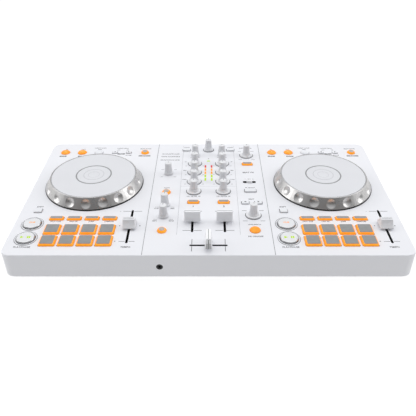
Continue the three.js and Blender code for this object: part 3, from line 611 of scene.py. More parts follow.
def add_jog(side):
    """A jog wheel: a silver ring on a dark foot with its axle, a touch plate, and a fixed collar. The
    dark foot and collar are partly a black rim and partly painted shade in the gap under the ring.
    """
    ring_node, plate_node = f"jog_ring_{side}", f"jog_plate_{side}"
    x, y = middle(ring_node)
    low, high = box(ring_node)
    top = high[2]
    radius = (high[0] - low[0]) / 2 - 0.4
    plate_low, plate_high = box(plate_node)
    rim = (plate_high[0] - plate_low[0]) / 2
    lip = rim + 0.3
    side_low = (radius - 0.5, PANEL + 1.75)
    side_high = (lip + 1.0, top - 0.35)
    steps = RING_PITCHES * CELL_SIDE
    ring = Piece(f"jog_wheel_ring_{side}")
    ring.add(dimpled_side(x, y, side_low, side_high, 6.6, 1.6), SILVER)
    below = [(0, -0.3), (side_low[0] - 0.4, -0.3), (side_low[0] - 0.05, -0.2), (side_low[0], 0)]
    edge = [(side_high[0], 0), (side_high[0] - 0.25, 0.29), (side_high[0] - 0.5, 0.35)]
    well = [(lip + 0.2, 0.35), (lip, 0.15), (lip, -3.05), (0, -3.05)]
    start = -math.pi / 2 - math.pi / RING_PITCHES
    for profile, z in ((below, side_low[1]), (edge + well, side_high[1])):
        profile = [(r, z + height) for r, height in profile]
        ring.add(lathe(profile, x, y, steps, start=start), SILVER)
    # The dark foot under the ring: partly a black rim, partly painted shade in the gap beneath it.
    foot = [(0, 0.7), (radius - 1.4, 0.7), (radius, 1.1), (radius, 1.4), (0, 1.5)]
    ring.turn(BLACK_AND_SHADE, foot, x, y, PANEL, {2: 0.25, 3: 0.2}, steps)
    ring.turn(BLACK_AND_SHADE, rod(4, low[2], PANEL + 0.8), x, y, 0, steps=32)
    ring.make(f"jog_{side}", 34, [ring_node], (x, y))

    plate = Piece(f"touch_plate_{side}")
    face = [(0, -3.1), (rim, -3.1), (rim, -0.35), (rim - 0.5, -0.02)]
    face += [(24.7, -0.12), (24.5, -0.34), (22.6, -0.34), (22.4, -0.12)]
    face += [(14.4, -0.17), (14.1, -0.32), (13.2, -0.32), (12.9, -0.17)]
    face += [(8.0, -0.17), (7.6, -0.37), (0, -0.42)]
    plate.turn(PLATE, face, x, y, top, {3: 0.3}, steps)
    edge = [(rim - 0.95, -0.06), (rim - 0.25, -0.2), (rim - 0.2, -0.1), (rim - 0.9, 0.02)]
    plate.turn(PLATE_LINE, edge, x, y, top, None, steps, True)
    for r0, r1, z, look in (
        (22.7, 24.4, -0.36, PLATE_LINE),
        (13.3, 14.0, -0.34, PLATE_SHADE),
        (7.2, 7.7, -0.42, PLATE_SHADE),
    ):
        line = [(r0, z - 0.05), (r1, z - 0.05), (r1, z + 0.08), (r0, z + 0.08)]
        plate.turn(look, line, x, y, top, None, steps, True)
    plate.make(f"jog_{side}", 30, [plate_node], (x, y))
    # A near-black ring on the panel round the wheel: partly a black flange, partly painted shade in the
    # gap under the ring.
    collar = [(58, -0.05), (66.9, -0.05), (66.9, 0.2), (66.5, 0.4), (58, 0.4)]
    COLLARS.turn(BLACK_AND_SHADE, collar, x, y, PANEL, {2: 0.1, 3: 0.15}, steps, True)


# ---- Knobs ----
KNOB_GAP_SHADE = Piece("knob_gap_shade")


def printed_ring(x, y, inner, outer):
    low, high = PANEL - LEGEND_REACH, PANEL + INK
    ring = [(inner, low), (outer, low), (outer, high), (inner, high)]
    return lathe(ring, x, y, 64, closed=True)


def add_knob(node, skirt, wide):
    """A knob with a fluted grip and a pointer on its top. A wide one has a flat round foot, with a dark
    ring round it on the panel: painted shade in the gap round the foot.
    """
    x, y = middle(node)
    top = box(node)[1][2]
    foot = PANEL + 0.8
    knob = Piece(f"{node}_grip")
    if wide:
        disc = [(0, 0), (skirt - 0.3, 0), (skirt, 0.35), (skirt - 0.2, 0.85), (5, 1.3), (0, 1.3)]
        knob.turn(KNOB_FOOT, disc, x, y, foot, {2: 0.15, 3: 0.2}, 64)
        side = [(0, 0.9), (7.2, 0.9), (7.0, 1.5), (5.4, 3.6), (4.8, 8.0)]
        rounding = {2: 0.4, 3: 2.0, 4: 2.0}
    else:
        side = [(0, 0), (skirt, 0), (skirt, 0.7), (5.5, 2.8), (4.9, 9.0)]
        rounding = {2: 0.3, 3: 1.2, 4: 2.0}
    grip = [(r, foot + z) for r, z in side] + [(4.5, top - 2.0), (0, top - 2.0)]
    knob.add(fluted(rounded(grip, rounding), x, y, 16, 0.5, foot + 1.6, top - 1.7), KNOB)
    cap = [(0, -2.2), (4.62, -2.1), (4.5, -0.1), (3.9, 0), (0, -0.1)]
    knob.turn(KNOB_TOP, cap, x, y, top, {2: 0.5, 3: 0.4})
    knob.add(block(x - 0.38, x + 0.38, y + 1.0, y + 4.2, top - 0.3, top - 0.01), PLATE_LINE)
    # A dark ring round a wide knob's foot: painted shade in the gap round it.
    if wide:
        KNOB_GAP_SHADE.add(printed_ring(x, y, skirt + 0.05, skirt + 0.9), INK_AND_SHADE_GREY)
    if node != "browse_knob":  # its shaft is a part of its own
        shaft = rod(3, box(node)[0][2], foot + 0.5)
        knob.turn(METAL, shaft, x, y, 0, steps=24)
    ROUNDS.append((x, y, SHAFT_HOLE))
    knob.stand_in(node)


# ---- Slider caps ----
def raised(levels, z):
    return [(depth, z + height, inset) for depth, height, inset in levels]


def cap_shape(x, y, width, levels, along_x=False, radius=0.9):
    """A slider's cap: each level gives a depth, a height, and how far the sides are drawn in."""
    rings = []
    for depth, z, inset in levels:
        w, d = width - 2 * inset, depth
        if along_x:
            w, d = d, w
        points = ring_points(x, y, w, d, min(radius, d / 2.2, w / 2.2), 5)
        rings.append([(px, py, z) for px, py in points])
    return loft(rings)


def add_fader(node, along_x=False):
    """A channel fader's cap, or the crossfader's, which slides along X and has wider ends."""
    x, y = middle(node)
    low, top = (corner[2] for corner in box(node))
    cap = Piece(f"{node}_handle")
    foot = PANEL + 3
    lower = ((8.0, 0, 0.5), (8.7, 0.4, 0.05), (8.75, 1.2, 0), (7.7, 5.0, 0.05), (6.8, 9.5, 0.1))
    upper = ((6.25, -1.4, 0.15), (6.1, -0.55, 0.2), (5.7, -0.2, 0.42), (5.0, -0.05, 0.8))
    flare = 1.3 if along_x else 0.15  # how far each side spreads at the foot
    flared = []
    for depth, z, inset in raised(lower, foot) + raised(upper, top):
        flared.append((depth, z, inset - flare * (1 - (z - foot) / (top - foot))))
    cap.add(cap_shape(x, y, 20, flared, along_x), CAP)

    def bar(across, along, z0, z1):
        (a0, a1), (b0, b1) = across, along
        if along_x:
            a0, a1, b0, b1 = b0, b1, a0, a1
        return block(x + a0, x + a1, y + b0, y + b1, z0, z1)

    cap.add(bar((-9.3, 9.3), (-0.36, 0.36), top - 0.4, top), PLATE_LINE)
    if along_x:
        for s in (-1, 1):
            # Two whiter strips on the crossfader's top: a painted highlight.
            cap.add(bar((-8.9, 8.9), sorted((s * 0.4, s * 2.5)), top - 0.5, top - 0.01), CAP_HIGHLIGHT)
            for half, low_half, proud, z0, z1, look in (
                (2.4, 3.5, 0.03, foot + 0.5, top - 1.1, CAP_END),
                (0.5, 0.6, 0.06, foot + 0.5, top - 0.9, PLATE_LINE),
            ):
                corners = []
                for z, across in ((z0, low_half), (z1, half)):
                    rise = (z - foot) / (top - foot)
                    end = 10 + proud - 0.2 * rise + flare * (1 - rise)
                    x0, x1 = x - across, x + across
                    outline = [(x0, end - 0.6), (x1, end - 0.6), (x1, end), (x0, end)]
                    if s < 0:
                        outline = [(px, -py) for px, py in reversed(outline)]
                    corners.append([(px, y + py, z) for px, py in outline])
                cap.add(loft(corners), look)
    else:
        for s in (-1, 1):
            ends = sorted((s * 9.4, s * 9.99))
            cap.add(bar(ends, (-0.7, 0.7), foot + 1.2, top - 0.9), PLATE_LINE)
    cap.add(bar((-0.8, 0.8), (-2, 2), low, foot + 0.5), METAL)
    cap.stand_in(node, 34)


def add_tempo(side):
    """A tempo slider's cap, with ribs across its two slopes."""
    node = f"tempo_cap_{side}"
    x, y = middle(node)
    low, top = (corner[2] for corner in box(node))
    foot = PANEL + 2
    cap = Piece(f"{node}_handle")
    lower = ((18.0, 0, 0.5), (18.9, 0.35, 0.05), (19.0, 1.2, 0), (18.2, 1.9, 0.1))
    middle_part = ((12.6, 4.2, 0.25), (8.6, 7.4, 0.4))
    upper = ((7.0, -0.7, 0.55), (6.4, -0.18, 0.8), (5.6, 0, 1.2))
    levels = raised(lower + middle_part, foot) + raised(upper, top)
    cap.add(cap_shape(x, y, 16, levels, radius=1.2), FADER)
    for s in (-1, 1):
        for along, z in ((7.6, foot + 2.5), (6.1, foot + 3.55), (4.9, foot + 5.2), (4.15, foot + 6.9)):
            rib = slab(x, y + s * along, 13.2, 0.62, z - 0.5, z + 0.28, 0.3, 0.2, steps=3, arc=2)
            cap.add(rib, FADER)
    cap.add(centred(x, y, 12.8, 0.8, top - 0.4, top), PLATE_LINE)
    cap.add(centred(x, y, 1.6, 4, low, foot + 0.5), METAL)
    cap.stand_in(node, 34)


# ---- Decks ----
PRINT = Piece("printed_marks")
PALE_PRINT = Piece("printed_pale_marks")


def dash(x, y, width, depth):
    PRINT.add(centred(x, y, width, depth, PANEL - LEGEND_REACH, PANEL + INK), INK_AND_SHADE_GREY)


def dashes(x, y, offset, width, depth):
    """A printed line on each side of x."""
    for s in (-1, 1):
        dash(x + s * offset, y, width, depth)


def printed_shape(outline):
    PRINT.add(prism(outline, PANEL - LEGEND_REACH, PANEL + INK), INK_AND_SHADE_GREY)


def mark(words, x, y, size):
    PRINT.add(lettering(words, x, y, size), INK_AND_SHADE_GREY)


def boxed(words, x, y, width, height=2.9):
    """A pale word on a dark printed bar."""
    printed_shape(ring_points(x, y, width, height, 0.8, 3))
    PALE_PRINT.add(lettering(words, x, y, height * 0.72, PANEL + INK), KEY)


def add_deck(side):
    add_jog(side)
    x, pads_y = middle(f"pad_mat_{side}")
    columns = row(x, 4, PAD_PITCH)
    mat = Piece(f"pads_{side}")
    for y in row(pads_y, 2, PAD_PITCH):
        for column in columns:
            lit_rectangle(mat, column, y, PAD_SIZE, PAD_SIZE, 3, 15.9, 15.9, PAD_TOP)
    mat.stand_in(f"pad_mat_{side}")

    modes_y = middle(f"mode_keys_{side}")[1]
    modes = Piece(f"mode_buttons_{side}")
    for column in columns:
        lit_rectangle(modes, column, modes_y, 18.2, 7.8, 2.6, 15.4, 4.7, MODE_TOP)
    modes.stand_in(f"mode_keys_{side}")

    loop_x, top_y = middle(f"loop_keys_{side}")
    loops = Piece(f"loop_buttons_{side}")
    spots = row(loop_x, 3, 25.5)
    for words, spot in zip(("IN", "OUT"), spots):
        dome(loops, spot, top_y, ORANGE_DOME)
        loops.add(lettering(words, spot, top_y, 2.6, PANEL + 2.06), LETTER_PALE)
    dome(loops, spots[2], top_y, KEY)
    loops.stand_in(f"loop_keys_{side}", 40)

    call_x = arrow_buttons(f"call_buttons_{side}", f"call_keys_{side}", 21, 8, 6.5, 1.6, 2.4)[0]
    lit_round_button(f"sync_button_{side}", f"sync_key_{side}", 5.7)
    shift_x, shift_y = plain_button(f"shift_button_{side}", f"shift_key_{side}", 10, 9)
    transport_key("cue", side, cue_marks)
    transport_key("play", side, play_marks)
    add_tempo(side)
    tempo_x, tempo_y = middle(f"tempo_cap_{side}")
    SLOTS.append((tempo_x, tempo_y, 3, 68))

    sync_x = middle(f"sync_key_{side}")[0]
    play_x, play_y = middle(f"play_key_{side}")
    for words, x, y, size in (
        ("IN", spots[0], top_y + 10.4, 3.0),
        ("OUT", spots[1], top_y + 10.4, 3.0),
        ("4 BEAT LOOP", spots[2], top_y + 14.4, 3.0),
        ("EXIT", spots[2], top_y + 9.8, 2.8),
        ("LOOP CALL", call_x, top_y + 13.4, 3.3),
        ("1/2X", call_x - 6, top_y + 8.2, 2.6),
        ("2X", call_x + 8, top_y + 8.2, 2.6),
        ("STORE", call_x + 11, top_y - 8.4, 3.0),
        ("BEAT SYNC", sync_x, top_y + 12, 3.3),
        ("SHIFT", shift_x, shift_y + 9, 3.5),
        ("PLAY/PAUSE", play_x, play_y - 16.6, 3.7),
        ("TEMPO", tempo_x, FRONT + 15.4, 3.7),
        ("-", tempo_x - 15.5, tempo_y + 31.5, 4),
        ("+", tempo_x - 14, tempo_y - 30.5, 4),
    ):
        mark(words, x, y, size)
    boxed("LOOP", spots[0] - 1.5, top_y - 11.4, 10.5)
    boxed("RELOOP", spots[1] + 1, top_y - 11.4, 11)
    boxed("CALL", call_x - 0.5, top_y - 4.2, 11, 3.2)
    boxed("MASTER", sync_x, top_y - 10.2, 18, 2.7)
    for words, column in zip(("HOT CUE", "PAD FX", "JUMP", "SAMPLER"), columns):
        mark(words, column, modes_y - 6.1, 3.0)
    dashes(tempo_x, tempo_y + 31.5, 7.1, 9.8, 0.66)
    dashes(tempo_x, tempo_y - 30.6, 5.85, 7.3, 0.66)
    for s in (-1, 1):
        printed_shape(ring_points(tempo_x + s * 12.5, tempo_y + 0.5, 1.5, 1.5, 0.7, 4))


for deck in DECKS:
    add_deck(deck)


# ---- Mixer ----
def trim_ticks(x, y):
    """Marks at the two ends of a trim knob's turn, and at its middle."""
    reach = 8
    a = math.radians(60)
    dashes(x, y - reach * math.sin(a), reach * math.cos(a) + 1.6, 3.2, 0.6)
    dash(x, y + reach + 0.7, 0.5, 1.4)


for number, hand in ((1, -1), (2, 1)):
    for kind, words in (("filter", None), ("low", "LOW"), ("mid", "MID"), ("high", "HI"), ("trim", None)):
        knob_node = f"{kind}_knob_{number}"
        add_knob(knob_node, 6.5 if kind == "trim" else 9.5, kind != "trim")
        knob_x, knob_y = middle(knob_node)
        if kind == "filter":
            mark("LO  FILTER  HI", knob_x, knob_y - 13, 2.9)
        elif kind == "trim":
            trim_ticks(knob_x, knob_y)
        else:
            mark(words, knob_x + hand * 14, knob_y + 5, 2.6)
            dashes(knob_x, knob_y - 7, 12.4, 2.6, 0.6)
    cue_x, cue_y = cue_button(f"channel_cue_button_{number}", f"channel_cue_key_{number}")
    mark(str(number), cue_x, cue_y - 9.8, 5)
    add_fader(f"channel_fader_cap_{number}")
    SLOTS.append((cue_x, FADER_SLOT_Y, 3, 48))
    for line in (-47.8, -88.6):
        dashes(cue_x, line, 6.85, 9.7, 0.72)
    load_x, load_y = plain_button(f"load_button_{number}", f"load_key_{number}", 12, 7)
    mark("LOAD", load_x, load_y + 8.2, 3.0)
    dash(load_x, load_y - 5.35, 12, 0.5)

add_fader("crossfader_cap", along_x=True)
cross_y = middle("crossfader_cap")[1]
SLOTS.append((0, cross_y, 45, 2.8))
dashes(0, cross_y + 6.95, 19.7, 0.72, 10.1)
dashes(0, cross_y - 6.45, 19.7, 0.72, 9.1)

add_knob("browse_knob", 7.5, True)
for node in ("mic_level_knob", "phones_mix_knob", "phones_level_knob"):
    add_knob(node, 6.5, False)
for node in ("master_level_knob", "effect_level_knob"):
    add_knob(node, 9.5, True)
for node in ("filter_assist_key", "fader_assist_key"):
    lit_round_button(node.replace("key", "button"), node, 5.6)
cue_button("master_cue_button", "master_cue_key")
select_x, select_y = plain_button("effect_select_button", "effect_select_key", 16, 8.4)
beat_x, beat_y = arrow_buttons("beat_buttons", "beat_keys", 17.2, 10, 8, PLAIN_PROUD, 2.8)
effect_on = Piece("effect_on_button")
dome(effect_on, *middle("effect_on_key"), ORANGE_DOME)
effect_on.stand_in("effect_on_key", 40)

# The effect channel switch slides in a slot, and has three grip lines.
switch_x, switch_y = middle("effect_channel_switch")
switch_low, switch_top = (corner[2] for corner in box("effect_channel_switch"))
switch = Piece("effect_channel_slider")
cap = slab(switch_x, switch_y, 8.2, 5.7, PANEL + 0.3, switch_top, 0.9, 0.4, 0.3, steps=4)
switch.add(cap, KNOB_FOOT)
for offset in (-1.2, 0, 1.2):
    line = centred(switch_x + offset, switch_y, 0.4, 2.8, switch_top - 0.3, switch_top - 0.01)
    switch.add(line, INK_PALE)
switch.add(centred(switch_x, switch_y, 4, 1.6, switch_low, PANEL + 1), METAL)
switch.stand_in("effect_channel_switch")
SLOTS.append((switch_x, switch_y, 18.4, 5.2))

for words, x, y, size in (
    ("DJ CONTROLLER", -OUTER_X, 103.4, 3.4),
    ("TWO CHANNELS", -OUTER_X, 95.2, 3.6),
    ("MICROPHONE LEVEL", -OUTER_X, 85, 3.1),
    ("ASSIST", -OUTER_X, 7.6, 2.8),
    ("CUE", -OUTER_X - 10.5, -42, 3.0),
    ("MIX", -OUTER_X + 10.5, -42, 3.0),
    ("MIN", -OUTER_X - 10.5, -69, 3.0),
    ("MAX", -OUTER_X + 10.5, -69, 3.0),
    ("MASTER LEVEL", OUTER_X, 122, 3.0),
    ("BEAT FX", OUTER_X, 48.8, 4.3),
    ("1   1&2   2", switch_x, switch_y + 7.6, 2.9),
    ("FX SELECT", select_x, select_y + 7.6, 2.9),
    ("BEAT", beat_x, beat_y + 8.4, 3.3),
    ("LEVEL/DEPTH", OUTER_X, -76.6, 2.7),
    ("FX ON/OFF", OUTER_X, -100.6, 3.6),
    ("^", 0, 88, 4.5),
):
    mark(words, x, y, size)
for x, y, offset, width, depth in (
    (-OUTER_X, 57, 9.2, 4, 0.6),
    (-OUTER_X, 37, 9.2, 4, 0.6),
    (-OUTER_X, -38.55, 10, 5, 0.5),
    (-OUTER_X, -65.55, 10, 5, 0.5),
    (OUTER_X, 112, 9.6, 5.2, 0.6),
    (OUTER_X, 86.5, 9.6, 5.2, 0.6),
    (OUTER_X, -46.6, 11, 6, 0.66),
    (OUTER_X, -68.9, 11, 6, 0.66),
):
    dashes(x, y, offset, width, depth)

# ---- Lamps, meters and bezels on the panel ----
lamps = Piece("level_meters")
for s in (-1, 1):
    for i, look in enumerate((RED_LED, ORANGE_LED, ORANGE_LED, GREEN_LED, GREEN_LED)):
        lamps.add(slab(s * 4.5, 66 - 9 * i, 2.45, 7.2, PANEL - 1, PANEL + 0.18, 1.1, 0.15), look)
lamps.add(slab(0, 82, 5, 2.8, PANEL - 1, PANEL + 0.2, 1.35, 0.15), GREEN_LED)
lamps.make("case")

bezels = Piece("transport_bezels")
band = [(11.7, -0.3), (13.3, -0.05), (13.3, 0.3), (12.9, 0.55), (12.2, 0.5), (11.7, 0.2)]
for deck in DECKS:
    for name in ("cue", "play"):
        x, y = middle(f"{name}_key_{deck}")
        bezels.turn(KEY, band, x, y, PANEL, {2: 0.1, 3: 0.15, 4: 0.2}, 64, True)
        bezels.add(printed_ring(x, y, 13.25, 13.85), INK_AND_SHADE_GREY)
bezels.make("case", 40)


# ---- Case ----
def case_shell():
    """The upper case as one moulding, with its openings cut through."""
    rings = []

    def add(inset, z, radius):
        points = ring_points(0, 0, WIDTH - 2 * inset, DEPTH - 2 * inset, radius, 14)
        rings.append([(px, py, z) for px, py in points])

    add(WALL, PANEL - WALL, CORNER - WALL)
    add(WALL, TRAY_TOP, CORNER - WALL)
    for i in range(5):
        a = math.pi / 2 * i / 4
        add(0.6 * (1 - math.sin(a)), TRAY_TOP + 0.6 * (1 - math.cos(a)), CORNER)
    fillet = 1.2
    for i in range(7):
        a = math.pi / 2 * i / 6
        inset = fillet * (1 - math.cos(a))
        add(inset, PANEL - fillet * (1 - math.sin(a)), CORNER - inset)
    shell = Piece("case_shell").add(loft(rings), CASE).mesh_object()
    shell.data.materials.append(GAP_SHADE)
    shell.data.materials.append(GROOVE)

    # The cutters' near-black faces become the openings' walls: painted shade in the gaps round the keys,
    # in the slots and in the holes.
    cut = Piece("case_cuts")
    cut.add(block(BAY_X0, BAY_X1, BACK - WALL - 2, BACK + 2, BAY_Z0, BAY_Z1), CASE)
    above, below = PANEL + 2, PANEL - WALL - 2
    for x, y, width, depth, radius in RECTANGLES:
        extra = 2 * CLEARANCE
        points = ring_points(x, y, width + extra, depth + extra, radius + CLEARANCE, 5)
        cut.add(prism(points, below, above), GAP_SHADE)
    for x, y, radius in ROUNDS:
        cut.add(lathe(rod(radius + CLEARANCE, below, above), x, y, 40), GAP_SHADE)
    for x, y, width, depth in SLOTS:
        points = ring_points(x, y, width, depth, min(width, depth) / 2 - 0.1, 5)
        cut.add(prism(points, below, above), GAP_SHADE)
    for deck in DECKS:
        x, y = middle(f"jog_ring_{deck}")
        cut.add(lathe(rod(4.4, below, above), x, y, 32), GAP_SHADE)
    for s in (-1, 1):
        groove = centred(s * DIVIDER_X, (FRONT + BACK) / 2, 0.5, DEPTH - 2, PANEL - 0.5, above)
        cut.add(groove, GROOVE)
    lock = slab(0, 0, 7, 3, -3 * WALL, 3, 1.2, 0)
    cut.add(towards_back(lock, LOCK_X, BACK, PANEL - 18.5), GAP_SHADE)
    hole = lathe(rod(4, -WALL - 2, 2), steps=40)
    cut.add(towards_front(hole, PHONES_X, FRONT, PHONES_Z), GAP_SHADE)
    cutter = cut.mesh_object()
    boolean = shell.modifiers.new("openings", "BOOLEAN")
    boolean.object = cutter
    boolean.solver = "EXACT"
    bpy.context.view_layer.update()
    graph = bpy.context.evaluated_depsgraph_get()
    result = bpy.data.meshes.new_from_object(shell.evaluated_get(graph))
    shell.modifiers.remove(boolean)
    shell.data = result
    bpy.data.objects.remove(cutter)
    settle(shell, "case", 32, ["upper_case"])


PHONES_X = middle("phones_socket")[0]
PHONES_Z = 23.9
LOCK_X = 150  # a slot for a security lock, in the back
BAY_X0, BAY_X1 = -78, 100  # the recess in the back that the sockets open into
BAY_Z0, BAY_Z1 = 13, 34
BAY_WALL_Y = BACK - 9
case_shell()

# Painted shade seen through the sliders' slots: a near-black floor, and a near-black wall on each side.
lining = Piece("slot_shade_linings")
LINING_FLOOR = PANEL - 12
for x, y, width, depth in SLOTS:
    w, d = width + 3, depth + 3
    lining.add(centred(x, y, w, d, LINING_FLOOR - 0.6, LINING_FLOOR), HOLE_SHADE)
    for s in (-1, 1):
        for side_x, side_y, wide, deep in ((x + s * w / 2, y, 0.6, d), (x, y + s * d / 2, w - 0.8, 0.6)):
            side = centred(side_x, side_y, wide, deep, LINING_FLOOR, PANEL - WALL - 0.1)
            lining.add(side, HOLE_SHADE)
lining.make("case")

z0, z1 = PANEL - LEGEND_REACH, PANEL + INK
for s in (-1, 1):
    PALE_PRINT.add(block(s * STRIP_X - 0.16, s * STRIP_X + 0.16, -97, 130, z0, z1), INK_PALE)
PALE_PRINT.add(block(-STRIP_X, STRIP_X, 11.9, 12.2, z0, z1), INK_PALE)
PRINT.make("case")
KNOB_GAP_SHADE.make("case")
COLLARS.make("case")
PALE_PRINT.make("case")

# ---- Tray ----
tray_low = box("bottom_tray")[0]
tray = Piece("tray_shell")
tray_rings = []
for i in range(5):
    a = math.pi / 2 * i / 4
    inset = 9 + 1.6 * (1 - math.sin(a))
    z = tray_low[2] + 1.2 * (1 - math.cos(a))
    points = ring_points(0, 0, WIDTH - 2 * inset, DEPTH - 2 * inset, CORNER - 1, 12)
    tray_rings.append([(px, py, z) for px, py in points])
for inset, z in ((0.6, TRAY_TOP - 0.35), (3.2, TRAY_TOP - 0.35)):
    points = ring_points(0, 0, WIDTH - 2 * inset, DEPTH - 2 * inset, CORNER, 12)
    tray_rings.append([(px, py, z) for px, py in points])
tray.add(loft(tray_rings), TRAY)
tray.make("case", replaced=["bottom_tray"])

SCREW_X, SCREW_Y = 222, 122
screws = Piece("case_screws")
profile = [(0, -0.9), (3.0, -0.9), (3.0, 0.35), (2.4, 0.75), (0, 0.75)]
head, head_faces = lathe(rounded(profile, {2: 0.3, 3: 0.4}), steps=28)
for x in (-SCREW_X, SCREW_X):
    for y in (-SCREW_Y, 0, SCREW_Y):
        points = [(x + px, y - py, tray_low[2] - pz) for px, py, pz in head]
        screws.add((points, head_faces), STEEL)
        # A near-black cross on each head: painted shade standing for its recess.
        for wide, deep in ((3.4, 0.6), (0.6, 3.4)):
            cross = centred(x, y, wide, deep, tray_low[2] - 0.78, tray_low[2] - 0.5)
            screws.add(cross, BLACK_AND_SHADE)
screws.make("case")

# ---- Sockets ----
bay = Piece("socket_bay")
t = 1.5  # the bay's own walls
for x0, x1, y1, z0, z1 in (
    (BAY_X0, BAY_X1, BAY_WALL_Y, BAY_Z0, BAY_Z1),
    (BAY_X0, BAY_X1, BACK - WALL, BAY_Z0 - t, BAY_Z0),
    (BAY_X0, BAY_X1, BACK - WALL, BAY_Z1, BAY_Z1 + t),
    (BAY_X0 - t, BAY_X0, BACK - WALL, BAY_Z0, BAY_Z1),
    (BAY_X1, BAY_X1 + t, BACK - WALL, BAY_Z0, BAY_Z1),
):
    bay.add(block(x0, x1, BAY_WALL_Y - t, y1, z0, z1), CASE)
bay.make("case")

phones = Piece("phones_bezel")
rim = [(2.1, -2.2), (3.98, -2.2), (3.98, -0.25), (3.7, -0.05), (2.6, -0.05), (2.1, -0.6)]
rim = lathe(rounded(rim, {2: 0.1, 3: 0.15, 4: 0.2}), steps=48, closed=True)
phones.add(towards_front(rim, PHONES_X, FRONT, PHONES_Z), BLACK_AND_SHADE)
phones.make("case", 40)

# Sockets in the bay: a jack, two output sleeves and two flat sockets.
JACK_X, OUTPUT_X, USB_X = -57, 4, (62, 84)
SOCKET_Z, USB_Z = 23, 20.55
sockets = Piece("rear_sockets")


def in_bay(shape, x, z, look):
    sockets.add(towards_back(shape, x, BAY_WALL_Y, z), look)


nut = [(3.3, -0.3), (5.7, -0.3), (5.7, 0.9), (5.2, 1.4), (3.9, 1.4), (3.3, 0.7)]
nut = lathe(rounded(nut, {2: 0.2, 3: 0.2, 4: 0.3}), steps=48, closed=True)
in_bay(nut, JACK_X, SOCKET_Z, METAL)
# A near-black disc in the jack: painted shade standing for its hole.
in_bay(lathe([(0, -0.3), (3.4, -0.3), (3.4, 0.2), (0, 0.1)], steps=40), JACK_X, SOCKET_Z, HOLE_SHADE)
for s, sleeve in ((-1, WHITE_SLEEVE), (1, RED_SLEEVE)):
    x = OUTPUT_X + 7 * s
    collar = [(0, -0.3), (5.9, -0.3), (5.9, 1.2), (5.4, 1.7), (0, 1.7)]
    in_bay(lathe(rounded(collar, {2: 0.3, 3: 0.3}), steps=48), x, SOCKET_Z, sleeve)
    barrel = [(3.3, 1.5), (4.45, 1.5), (4.45, 8.3), (4.1, 8.7), (3.5, 8.7), (3.3, 8.4)]
    in_bay(lathe(rounded(barrel, {2: 0.2, 3: 0.15}), steps=48, closed=True), x, SOCKET_Z, METAL)
    core = [(1.6, 1.5), (3.35, 1.5), (3.35, 8.15), (1.6, 8.3)]
    in_bay(lathe(core, steps=40, closed=True), x, SOCKET_Z, sleeve)
    # A near-black rod in each sleeve's core: painted shade standing for its pin hole.
    in_bay(lathe(rod(1.65, 1.5, 8.05), steps=24), x, SOCKET_Z, HOLE_SHADE)
rings = ((9.8, 4.1, -0.2), (9.8, 4.1, 0.7), (9.5, 3.8, 0.85), (9.0, 3.3, 0.8), (8.9, 3.2, 0.1))
cup = []
for wide, high, z in rings:
    cup.append([(px, py, z) for px, py in ring_points(0, 0, wide, high, high / 2.05, 6)])
for x in USB_X:
    in_bay(loft(cup), x, USB_Z, METAL)
    # A near-black sheet inside each flat socket: painted shade standing for its hollow.
    in_bay(slab(0, 0, 8.85, 3.15, 0.05, 0.16, 1.5, 0.02), x, USB_Z, HOLE_SHADE)
    in_bay(slab(0, 0, 6.4, 0.8, 0.1, 0.6, 0.3, 0.1), x, USB_Z, BLACK_AND_SHADE)
for words, x in (("MIC", JACK_X), ("MASTER OUT", OUTPUT_X), ("USB", sum(USB_X) / 2)):
    points, faces = lettering(words, 0, 0, 3.4, 0)
    label = [(x - px, BAY_WALL_Y - 0.02 + pz, SOCKET_Z + 6.9 + py) for px, py, pz in points]
    sockets.add((label, faces), INK_AND_SHADE_GREY)
sockets.make("case", 40)

# These nodes are shown as the CAD model has them, each in its own material.
for node, look in (
    ("main_board", BOARD),
    ("front_foot", RUBBER),
    ("rear_foot", RUBBER),
    ("rear_jack_board", BLACK_AND_SHADE),
    ("phones_socket", BLACK_AND_SHADE),
    ("browse_shaft", METAL),
):
    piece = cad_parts[node]
    piece.data.materials.clear()
    piece.data.materials.append(look)

# ---- Floor, light and camera ----
def dimmed(made, seen, felt):
    """Makes a glowing surface look brighter than the light it gives."""
    nodes, links = made.node_tree.nodes, made.node_tree.links
    path = nodes.new("ShaderNodeLightPath")
    ramp = nodes.new("ShaderNodeMapRange")
    set_inputs(ramp, to_min=felt, to_max=seen)
    links.new(path.outputs["Is Camera Ray"], ramp.inputs["Value"])
    links.new(ramp.outputs["Result"], nodes["Principled BSDF"].inputs["Emission Strength"])
    return made


FLOOR_REACH = 6000
FLOOR_Z = -0.4  # just under the feet, so that the two never meet
white = material("floor_white", (0.15, 0.15, 0.15), 0.9)
set_inputs(white.node_tree.nodes["Principled BSDF"], emission_color=(1, 1, 1, 1), emission_strength=0.9)
ground = Piece("floor")
corners = ((-1, -1), (1, -1), (1, 1), (-1, 1))
corners = [(x * FLOOR_REACH, y * FLOOR_REACH, FLOOR_Z) for x, y in corners]
floor = ground.add((corners, [[0, 1, 2, 3]]), dimmed(white, 0.9, 0.78)).mesh_object()

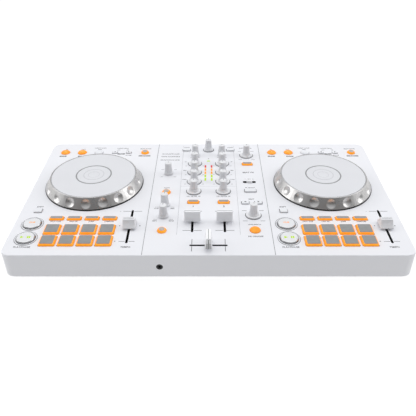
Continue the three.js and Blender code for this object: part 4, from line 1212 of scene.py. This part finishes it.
world = bpy.data.worlds.new("studio")
bpy.context.scene.world = world
world.use_nodes = True
nodes, links = world.node_tree.nodes, world.node_tree.links
background = nodes["Background"]
seen = nodes.new("ShaderNodeBackground")
set_inputs(seen, color=(1, 1, 1, 1), strength=1.0)
set_inputs(background, color=(0.97, 0.98, 1.0, 1))
path = nodes.new("ShaderNodeLightPath")
mix = nodes.new("ShaderNodeMixShader")
place = nodes.new("ShaderNodeTexCoord")
ramp = nodes.new("ShaderNodeMapRange")
set_inputs(ramp, from_min=-0.7, from_max=0.35, to_min=0.05, to_max=0.82)
tilt = nodes.new("ShaderNodeVectorMath")
tilt.operation = "DOT_PRODUCT"
tilt.inputs[1].default_value = (0, 0.8, 0.6)  # the studio is brightest high up at the back
links.new(place.outputs["Generated"], tilt.inputs[0])
links.new(tilt.outputs["Value"], ramp.inputs["Value"])
links.new(ramp.outputs["Result"], background.inputs["Strength"])
links.new(path.outputs["Is Camera Ray"], mix.inputs["Fac"])
links.new(background.outputs["Background"], mix.inputs[1])
links.new(seen.outputs["Background"], mix.inputs[2])
links.new(mix.outputs["Shader"], nodes["World Output"].inputs["Surface"])


def softbox(name, location, size, power):
    """A rectangular lamp that shines at the controller."""
    light = bpy.data.lights.new(name, "AREA")
    light.shape = "RECTANGLE"
    light.size, light.size_y = size
    light.energy = power
    holder = bpy.data.objects.new(name, light)
    holder.location = location
    towards = Vector((0, 0, 0.03)) - Vector(location)
    holder.rotation_euler = towards.to_track_quat("-Z", "Y").to_euler()
    holder.visible_camera = False
    bpy.context.scene.collection.objects.link(holder)


softbox("key_light", (0, 0.55, 1.5), (1.6, 1.0), 7)
softbox("left_light", (-1.3, 0.1, 0.7), (0.9, 0.9), 4)
softbox("right_light", (1.3, 0.1, 0.7), (0.9, 0.9), 4)

CAMERA_TILT = 34.76  # degrees down from level
lens = bpy.data.cameras.new("camera")
lens.sensor_width = 36
lens.lens = 45.03
lens.shift_x = -0.0012
camera = bpy.data.objects.new("camera", lens)
camera.location = (0, -0.5945, 0.4255)
camera.rotation_euler = (math.radians(90 - CAMERA_TILT), 0, 0)
bpy.context.scene.collection.objects.link(camera)
bpy.context.scene.camera = camera
bpy.context.scene.view_settings.view_transform = "Standard"
